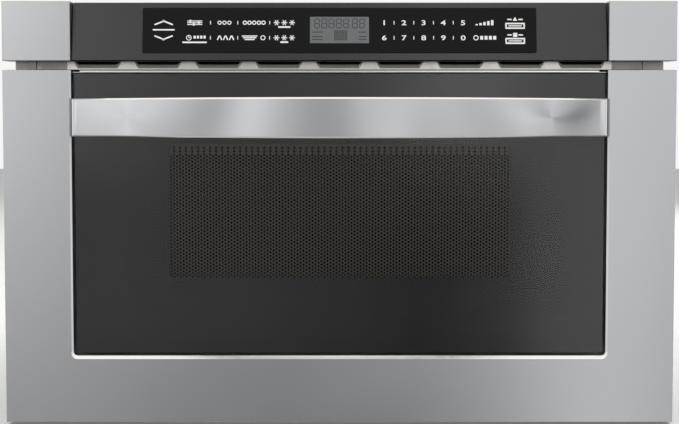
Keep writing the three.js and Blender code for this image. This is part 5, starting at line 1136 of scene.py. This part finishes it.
class DRAWER_OT_vent_strip(bpy.types.Operator):
    """Louvred strip between the door and the control panel, with a black sheet behind it that paints shade
    into the openings
    """

    bl_idname = "drawer.vent_strip"
    bl_label = "Vent strip"

    # The black sheet behind the openings, painted shade: its thickness, its gap behind the strip, its edge
    # radius and its inset from the ends.
    FILTER_T, FILTER_GAP, FILTER_EDGE, FILTER_INSET = 1.2 * MM, 0.6 * MM, 0.3 * MM, 1 * MM
    COUNT = 9
    PITCH = 55.7 * MM
    SHEET = 0.6 * MM
    STRIP_BOTTOM = 323.6 * MM
    TOP_Z, FOOT_Z = 331.0 * MM, 324.7 * MM
    TOP_HALF, FOOT_HALF = 21.8 * MM, 18.6 * MM
    THROAT_RISE = 3.5 * MM
    THROAT_SIDE = 0.9 * MM
    THROAT_DEPTH = 0.35 * MM

    def execute(self, context):
        low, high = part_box("vent_grille")
        bm = bmesh.new()
        for index in range(self.COUNT):
            self.add_louvre(bm, (index - (self.COUNT - 1) / 2) * self.PITCH, low, high)
        reach = self.COUNT / 2 * self.PITCH
        for side in (-1, 1):
            middle = side * (reach + high.x) / 2
            # The ends take the darker flange steel: painted shade from the end caps.
            self.add_plate(bm, middle, high.x - reach, low, high).material_index = 1
        bmesh.ops.remove_doubles(bm, verts=bm.verts, dist=SAME)
        bmesh.ops.recalc_face_normals(bm, faces=bm.faces)
        if sum(f.normal.y * f.calc_area() for f in bm.faces) > 0:
            bmesh.ops.reverse_faces(bm, faces=bm.faces)
        bmesh.ops.solidify(bm, geom=bm.faces[:], thickness=self.SHEET)
        finish_piece(
            bm, "louvred_strip", ["strip_steel", "flange_steel", "louvre_steel"], "chassis",
            ["vent_grille"], smooth=0)
        # A near-black sheet behind the openings: painted shade, so that the louvres look dark inside.
        felt = bmesh.new()
        y = high.y + self.FILTER_GAP
        ends = low.x + self.FILTER_INSET, high.x - self.FILTER_INSET
        add_block(felt, (ends[0], y, low.z), (ends[1], y + self.FILTER_T, high.z))
        round_over(felt, sharp_edges(felt), self.FILTER_EDGE)
        finish_piece(felt, "vent_filter", ["filter"], "chassis")
        return {"FINISHED"}

    def add_plate(self, bm, middle, width, low, high):
        """A flat length of the strip."""
        place = Matrix.Translation((middle, low.y, (self.STRIP_BOTTOM + high.z) / 2))
        place @= Matrix.Diagonal((width, 1, high.z - self.STRIP_BOTTOM, 1))
        place @= Matrix.Rotation(QUARTER, 4, "X")
        made = bmesh.ops.create_grid(bm, x_segments=1, y_segments=1, size=0.5, matrix=place)
        return made["verts"][0].link_faces[0]

    def add_louvre(self, bm, middle, low, high):
        """A length of the strip with one opening, drawn back into a throat whose floor rises."""
        plate = self.add_plate(bm, middle, self.PITCH, low, high)
        bmesh.ops.inset_individual(bm, faces=[plate], thickness=MM)
        centre = (self.STRIP_BOTTOM + high.z) / 2
        for vert in plate.verts:
            side = math.copysign(1, vert.co.x - middle)
            upper = vert.co.z > centre
            vert.co.x = middle + side * (self.TOP_HALF if upper else self.FOOT_HALF)
            vert.co.z = self.TOP_Z if upper else self.FOOT_Z
        drawn = bmesh.ops.extrude_discrete_faces(bm, faces=[plate])["faces"][0]
        walls = {f for e in drawn.edges for f in e.link_faces} - {drawn}
        for vert in drawn.verts:
            side = math.copysign(1, vert.co.x - middle)
            upper = vert.co.z > centre
            vert.co.x -= side * (self.SHEET if upper else self.THROAT_SIDE)
            vert.co.y += self.THROAT_DEPTH
            vert.co.z += 0 if upper else self.THROAT_RISE
        for wall in walls:
            wall.normal_update()
            # Floors and tops take the darker louvre steel: painted shade in the throats.
            wall.material_index = 2 if abs(wall.normal.z) > abs(wall.normal.x) else 0
        bmesh.ops.delete(bm, geom=[drawn], context="FACES_ONLY")


# ------------------------------------------------------------------ the case

class DRAWER_OT_case(bpy.types.Operator):
    """Galvanised case with pressed beads, folded laps, vent lips and screws"""

    bl_idname = "drawer.case"
    bl_label = "Case"

    LAP, LAP_T, LAP_EDGE, LAP_CLEAR = 15 * MM, 0.8 * MM, 0.25 * MM, 2 * MM
    BEAD_W, BEAD_RISE = 20 * MM, 2.2 * MM
    # The rear panel's exhaust slots: the middle of the lowest one's top edge, and the lips over them.
    SLOT_X, SLOT_TOP, SLOT_PITCH, SLOT_COUNT = -190 * MM, 280.8 * MM, 12 * MM, 7
    LIP_L, LIP_W, LIP_RISE = 88 * MM, 3 * MM, 1.6 * MM

    def execute(self, context):
        soften_all((("zinc", 0.4, ("rear_panel", "base_pan")), ("black_abs", 0.5, ("cord_gland",))))
        softened("outer_case", "zinc", 1.4, 3)
        low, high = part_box("outer_case")
        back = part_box("rear_panel")[1].y
        self.make_laps(low, high)
        self.make_beads(low, high, back)
        self.make_screws(low, high, back)
        return {"FINISHED"}

    def make_laps(self, low, high):
        """Folded laps, where the back and the pan turn round the case."""
        bm = bmesh.new()
        front, clear = high.y - self.LAP, self.LAP_CLEAR
        for side in (-1, 1):
            near, far = sorted((side * high.x, side * (high.x + self.LAP_T)))
            add_block(bm, (near, front, low.z + self.LAP), (far, high.y, high.z - clear))
            add_block(bm, (near, low.y + 2 * self.LAP, low.z), (far, high.y, low.z + self.LAP))
        add_block(bm, (low.x + clear, front, high.z), (high.x - clear, high.y, high.z + self.LAP_T))
        round_over(bm, sharp_edges(bm), self.LAP_EDGE)
        finish_piece(bm, "case_laps", ["zinc"], "chassis")

    def make_beads(self, low, high, back):
        """Stiffening beads on the top, the sides and the back, and a lip over each exhaust slot."""
        middle = (low.y + high.y) / 2
        long_bead = bead_shape(0.72 * (high.y - low.y), self.BEAD_W, self.BEAD_RISE)
        rear_bead = bead_shape(1.1 * high.x, self.BEAD_W, self.BEAD_RISE)
        lip = bead_shape(self.LIP_L, self.LIP_W, self.LIP_RISE)
        bm = bmesh.new()
        for share in (-0.6, -0.2, 0.2, 0.6):
            stamp(bm, long_bead, (share * high.x, middle, high.z), (0, 0, 1), QUARTER)
        for share in (0.28, 0.5, 0.72):
            height = between(low.z, high.z, share)
            for side in (-1, 1):
                stamp(bm, long_bead, (side * high.x, middle, height), (side, 0, 0))
        for share in (0.16, 0.34, 0.52):
            stamp(bm, rear_bead, (0, back, between(low.z, high.z, share)), (0, 1, 0))
        for index in range(self.SLOT_COUNT):
            height = self.SLOT_TOP + index * self.SLOT_PITCH
            stamp(bm, lip, (self.SLOT_X, back, height), (0, 1, 0))
        finish_piece(bm, "case_beads", ["zinc"], "chassis")

    def make_screws(self, low, high, back):
        """Screws through the laps and round the back."""
        screw = screw_shape()
        bm = bmesh.new()
        inset = self.LAP / 2
        for share in (-0.95, -0.5, 0, 0.5, 0.95):
            for height in (low.z + inset, high.z - inset):
                stamp(bm, screw, (share * high.x, back, height), (0, 1, 0))
            stamp(bm, screw, (share * (high.x - inset), high.y - inset, high.z + self.LAP_T), (0, 0, 1))
            stamp(bm, screw, (share * (high.x - inset), low.y + inset, high.z), (0, 0, 1))
        for side in (-1, 1):
            face = side * (high.x + self.LAP_T)
            for share in (0.3, 0.6, 0.9):
                height = between(low.z, high.z, share)
                stamp(bm, screw, (face, high.y - inset, height), (side, 0, 0))
                stamp(bm, screw, (side * high.x, low.y + 1.5 * self.LAP, height), (side, 0, 0))
                along = between(low.y, high.y, share)
                stamp(bm, screw, (face, along, low.z + inset), (side, 0, 0))
            for share in (0.33, 0.66):
                height = between(low.z, high.z, share)
                stamp(bm, screw, (side * 0.95 * high.x, back, height), (0, 1, 0))
        finish_screws(bm, "case_screws", "chassis")


class DRAWER_OT_front_plate(bpy.types.Operator):
    """Painted front plate with mounting flanges, screws and rubber stops"""

    bl_idname = "drawer.front_plate"
    bl_label = "Front plate"

    STOP_X, STOP_R, STOP_H, STOP_EDGE = 262 * MM, 5 * MM, 4 * MM, 0.8 * MM
    STOP_HEIGHTS = (40 * MM, 296 * MM)

    def execute(self, context):
        soften_all((
            ("grey_coat", 0.3, ("front_plate",)),
            # The flanges take the darker flange steel: painted shade from the end caps.
            ("flange_steel", 0.4, ("flange_left", "flange_right")),
        ))
        low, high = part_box("front_plate")
        stops = bmesh.new()
        screws = bmesh.new()
        screw = screw_shape(height=1.8)
        for side, sign in SIDES:
            for height in self.STOP_HEIGHTS:
                place = Matrix.Translation((sign * self.STOP_X, low.y - self.STOP_H / 2, height))
                place @= Matrix.Rotation(QUARTER, 4, "X")
                bmesh.ops.create_cone(
                    stops, cap_ends=True, segments=24, radius1=self.STOP_R, radius2=0.8 * self.STOP_R,
                    depth=self.STOP_H, matrix=place)
            flange_low, flange_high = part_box("flange_" + side)
            middle = (flange_low.x + flange_high.x) / 2
            for share in (0.12, 0.5, 0.88):
                height = between(flange_low.z, flange_high.z, share)
                stamp(screws, screw, (middle, flange_low.y, height), (0, -1, 0))
            for share in (0.1, 0.9):
                height = between(low.z, high.z, share)
                stamp(screws, screw, (sign * 0.97 * high.x, low.y, height), (0, -1, 0))
        round_over(stops, sharp_edges(stops), self.STOP_EDGE, 3)
        finish_piece(stops, "rubber_stops", ["rubber"], "chassis")
        finish_screws(screws, "front_plate_screws", "chassis")
        return {"FINISHED"}


# ------------------------------------------------------------------ the drawer and its slides

class DRAWER_OT_drawer_body(bpy.types.Operator):
    """Drawer box with its tray, the door's inner panel and the choke cover"""

    bl_idname = "drawer.drawer_body"
    bl_label = "Drawer body"

    def execute(self, context):
        soften_all((
            ("zinc", 0.4, ("door_inner_panel",)),
            ("grey_pp", 0.6, ("choke_cover",)),
            ("enamel", 0.5, ("drawer_box",)),
            ("white_nylon", 0.3, ("latch_hook_left", "latch_hook_right")),
        ))
        softened("ceramic_tray", "ceramic", 1.4, 3)
        screws = bmesh.new()
        screw = screw_shape(height=1.8)
        low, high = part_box("door_inner_panel")
        for side in (-1, 1):
            for share in (0.08, 0.36, 0.64, 0.92):
                height = between(low.z, high.z, share)
                stamp(screws, screw, (side * 0.96 * high.x, high.y, height), (0, 1, 0))
        finish_screws(screws, "door_panel_screws", "drawer")
        return {"FINISHED"}


class DRAWER_OT_slides(bpy.types.Operator):
    """Three-part slides with their screws and end blocks"""

    bl_idname = "drawer.slides"
    bl_label = "Slides"

    WEB = 1.5 * MM
    BLOCK_L, BLOCK_EDGE, BLOCK_INSET = 9 * MM, 1.2 * MM, 0.5 * MM
    BLOCK_FROM_WEB, BLOCK_OVER, BLOCK_LOWER = 3 * MM, 0.2 * MM, 4 * MM

    def execute(self, context):
        screw = screw_shape(3.4, 2.4, 1.6)
        screws = bmesh.new()
        for side, sign in SIDES:
            for part in ("outer", "middle", "inner"):
                softened(f"slide_{part}_{side}", "zinc", 0.3)
            low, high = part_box("slide_inner_" + side)
            web = sign * (min(abs(low.x), abs(high.x)) + self.WEB)
            for share in (0.08, 0.3, 0.52, 0.74, 0.96):
                along = between(low.y, high.y, share)
                stamp(screws, screw, (web, along, (low.z + high.z) / 2), (sign, 0, 0))
            self.make_end_block(side, sign, web, low, high)
        finish_screws(screws, "slide_screws", "drawer")
        return {"FINISHED"}

    def make_end_block(self, side, sign, web, low, high):
        """Plastic block in the front end of the middle member, clear of the inner one's screws."""
        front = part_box("slide_middle_" + side)[0].y + self.BLOCK_INSET
        outer = max(abs(low.x), abs(high.x)) + self.BLOCK_OVER
        near, far = sorted((web + sign * self.BLOCK_FROM_WEB, sign * outer))
        bm = bmesh.new()
        add_block(
            bm, (near, front, low.z + self.BLOCK_LOWER),
            (far, front + self.BLOCK_L, high.z - self.BLOCK_LOWER))
        round_over(bm, sharp_edges(bm), self.BLOCK_EDGE, 3)
        finish_piece(bm, "slide_end_block_" + side, ["black_abs"], side + "_slide")


# ------------------------------------------------------------------ machinery inside the case

class DRAWER_OT_cavity(bpy.types.Operator):
    """Cavity with its lamp, its stirrer and the waveguide that feeds it"""

    bl_idname = "drawer.cavity"
    bl_label = "Cavity"

    def execute(self, context):
        soften_all((
            ("enamel", 0.5, ("cavity_shell",)),
            ("white_nylon", 0.5, ("cavity_lamp", "stirrer_cover")),
            ("aluminium", 0.3, ("stirrer_antenna",)),
            ("grey_pp", 0.5, ("stirrer_motor",)),
            ("zinc", 0.3, ("waveguide",)),
            ("black_abs", 0.3, ("thermal_cutout",)),
        ))
        return {"FINISHED"}


class DRAWER_OT_power_unit(bpy.types.Operator):
    """Magnetron with its transformer, capacitor and diode, and the fan that cools them"""

    bl_idname = "drawer.power_unit"
    bl_label = "Power unit"

    def execute(self, context):
        soften_all((
            ("aluminium", 0.2, ("magnetron", "hv_capacitor")),
            ("laminations", 0.5, ("hv_transformer", "fan_motor")),
            ("black_abs", 0.2, ("hv_diode", "fan_shroud", "fan_blade")),
            ("grey_pp", 0.5, ("air_duct",)),
            ("board", 0.2, ("noise_filter",)),
        ))
        return {"FINISHED"}


class DRAWER_OT_drive(bpy.types.Operator):
    """Gear motor with its bracket, pinion and rack, and the latch switches"""

    bl_idname = "drawer.drive"
    bl_label = "Drive and switches"

    def execute(self, context):
        soften_all((
            ("grey_pp", 0.4, ("gear_motor",)),
            ("zinc", 0.3, ("motor_bracket", "switch_bracket")),
            ("white_nylon", 0.15, ("drive_rack", "drive_pinion", "plunger_primary", "plunger_monitor")),
            ("black_abs", 0.3, ("switch_primary", "switch_monitor")),
        ))
        return {"FINISHED"}


class DRAWER_OT_control_unit(bpy.types.Operator):
    """Housing behind the control panel, with its board and screws"""

    bl_idname = "drawer.control_unit"
    bl_label = "Control unit"

    def execute(self, context):
        soften_all((("black_abs", 0.5, ("control_housing",)), ("board", 0.2, ("control_board",))))
        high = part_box("control_housing")[1]
        case_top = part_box("outer_case")[1].z
        screw = screw_shape(3.2, 2.2, 1.4)
        bm = bmesh.new()
        for share in (-0.84, -0.42, 0, 0.42, 0.84):
            stamp(bm, screw, (share * high.x, high.y, (case_top + high.z) / 2), (0, 1, 0))
        finish_screws(bm, "housing_screws", "chassis")
        return {"FINISHED"}


# ------------------------------------------------------------------ add-on

class DRAWER_PT_sidebar(bpy.types.Panel):
    """Lists the steps that build the drawer's look"""

    bl_idname = "DRAWER_PT_sidebar"
    bl_label = "Microwave drawer"
    bl_space_type = "VIEW_3D"
    bl_region_type = "UI"
    bl_category = "Drawer"

    def draw(self, context):
        for operator in OPERATORS:
            self.layout.operator(operator.bl_idname)
        for name in DrawerSizes.__annotations__:
            self.layout.prop(context.scene.drawer_sizes, name)
        for name in DrawerColours.__annotations__:
            self.layout.prop(context.scene.drawer_colours, name)


OPERATORS = (
    DRAWER_OT_stage,
    DRAWER_OT_front,
    DRAWER_OT_handle,
    DRAWER_OT_window,
    DRAWER_OT_panel_face,
    DRAWER_OT_vent_strip,
    DRAWER_OT_case,
    DRAWER_OT_front_plate,
    DRAWER_OT_drawer_body,
    DRAWER_OT_slides,
    DRAWER_OT_cavity,
    DRAWER_OT_power_unit,
    DRAWER_OT_drive,
    DRAWER_OT_control_unit,
)
CLASSES = (DrawerSizes, DrawerColours, *OPERATORS, DRAWER_PT_sidebar)


def register():
    """Adds the classes and the scene's settings."""
    for cls in CLASSES:
        bpy.utils.register_class(cls)
    bpy.types.Scene.drawer_sizes = PointerProperty(type=DrawerSizes)
    bpy.types.Scene.drawer_colours = PointerProperty(type=DrawerColours)


def unregister():
    """Takes them away again."""
    del bpy.types.Scene.drawer_colours
    del bpy.types.Scene.drawer_sizes
    for cls in reversed(CLASSES):
        bpy.utils.unregister_class(cls)


def main():
    """Builds the drawer's look, step by step."""
    register()
    make_materials()
    for operator in OPERATORS:
        category, name = operator.bl_idname.split(".")
        getattr(getattr(bpy.ops, category), name)()


if __name__ == "__main__":
    main()
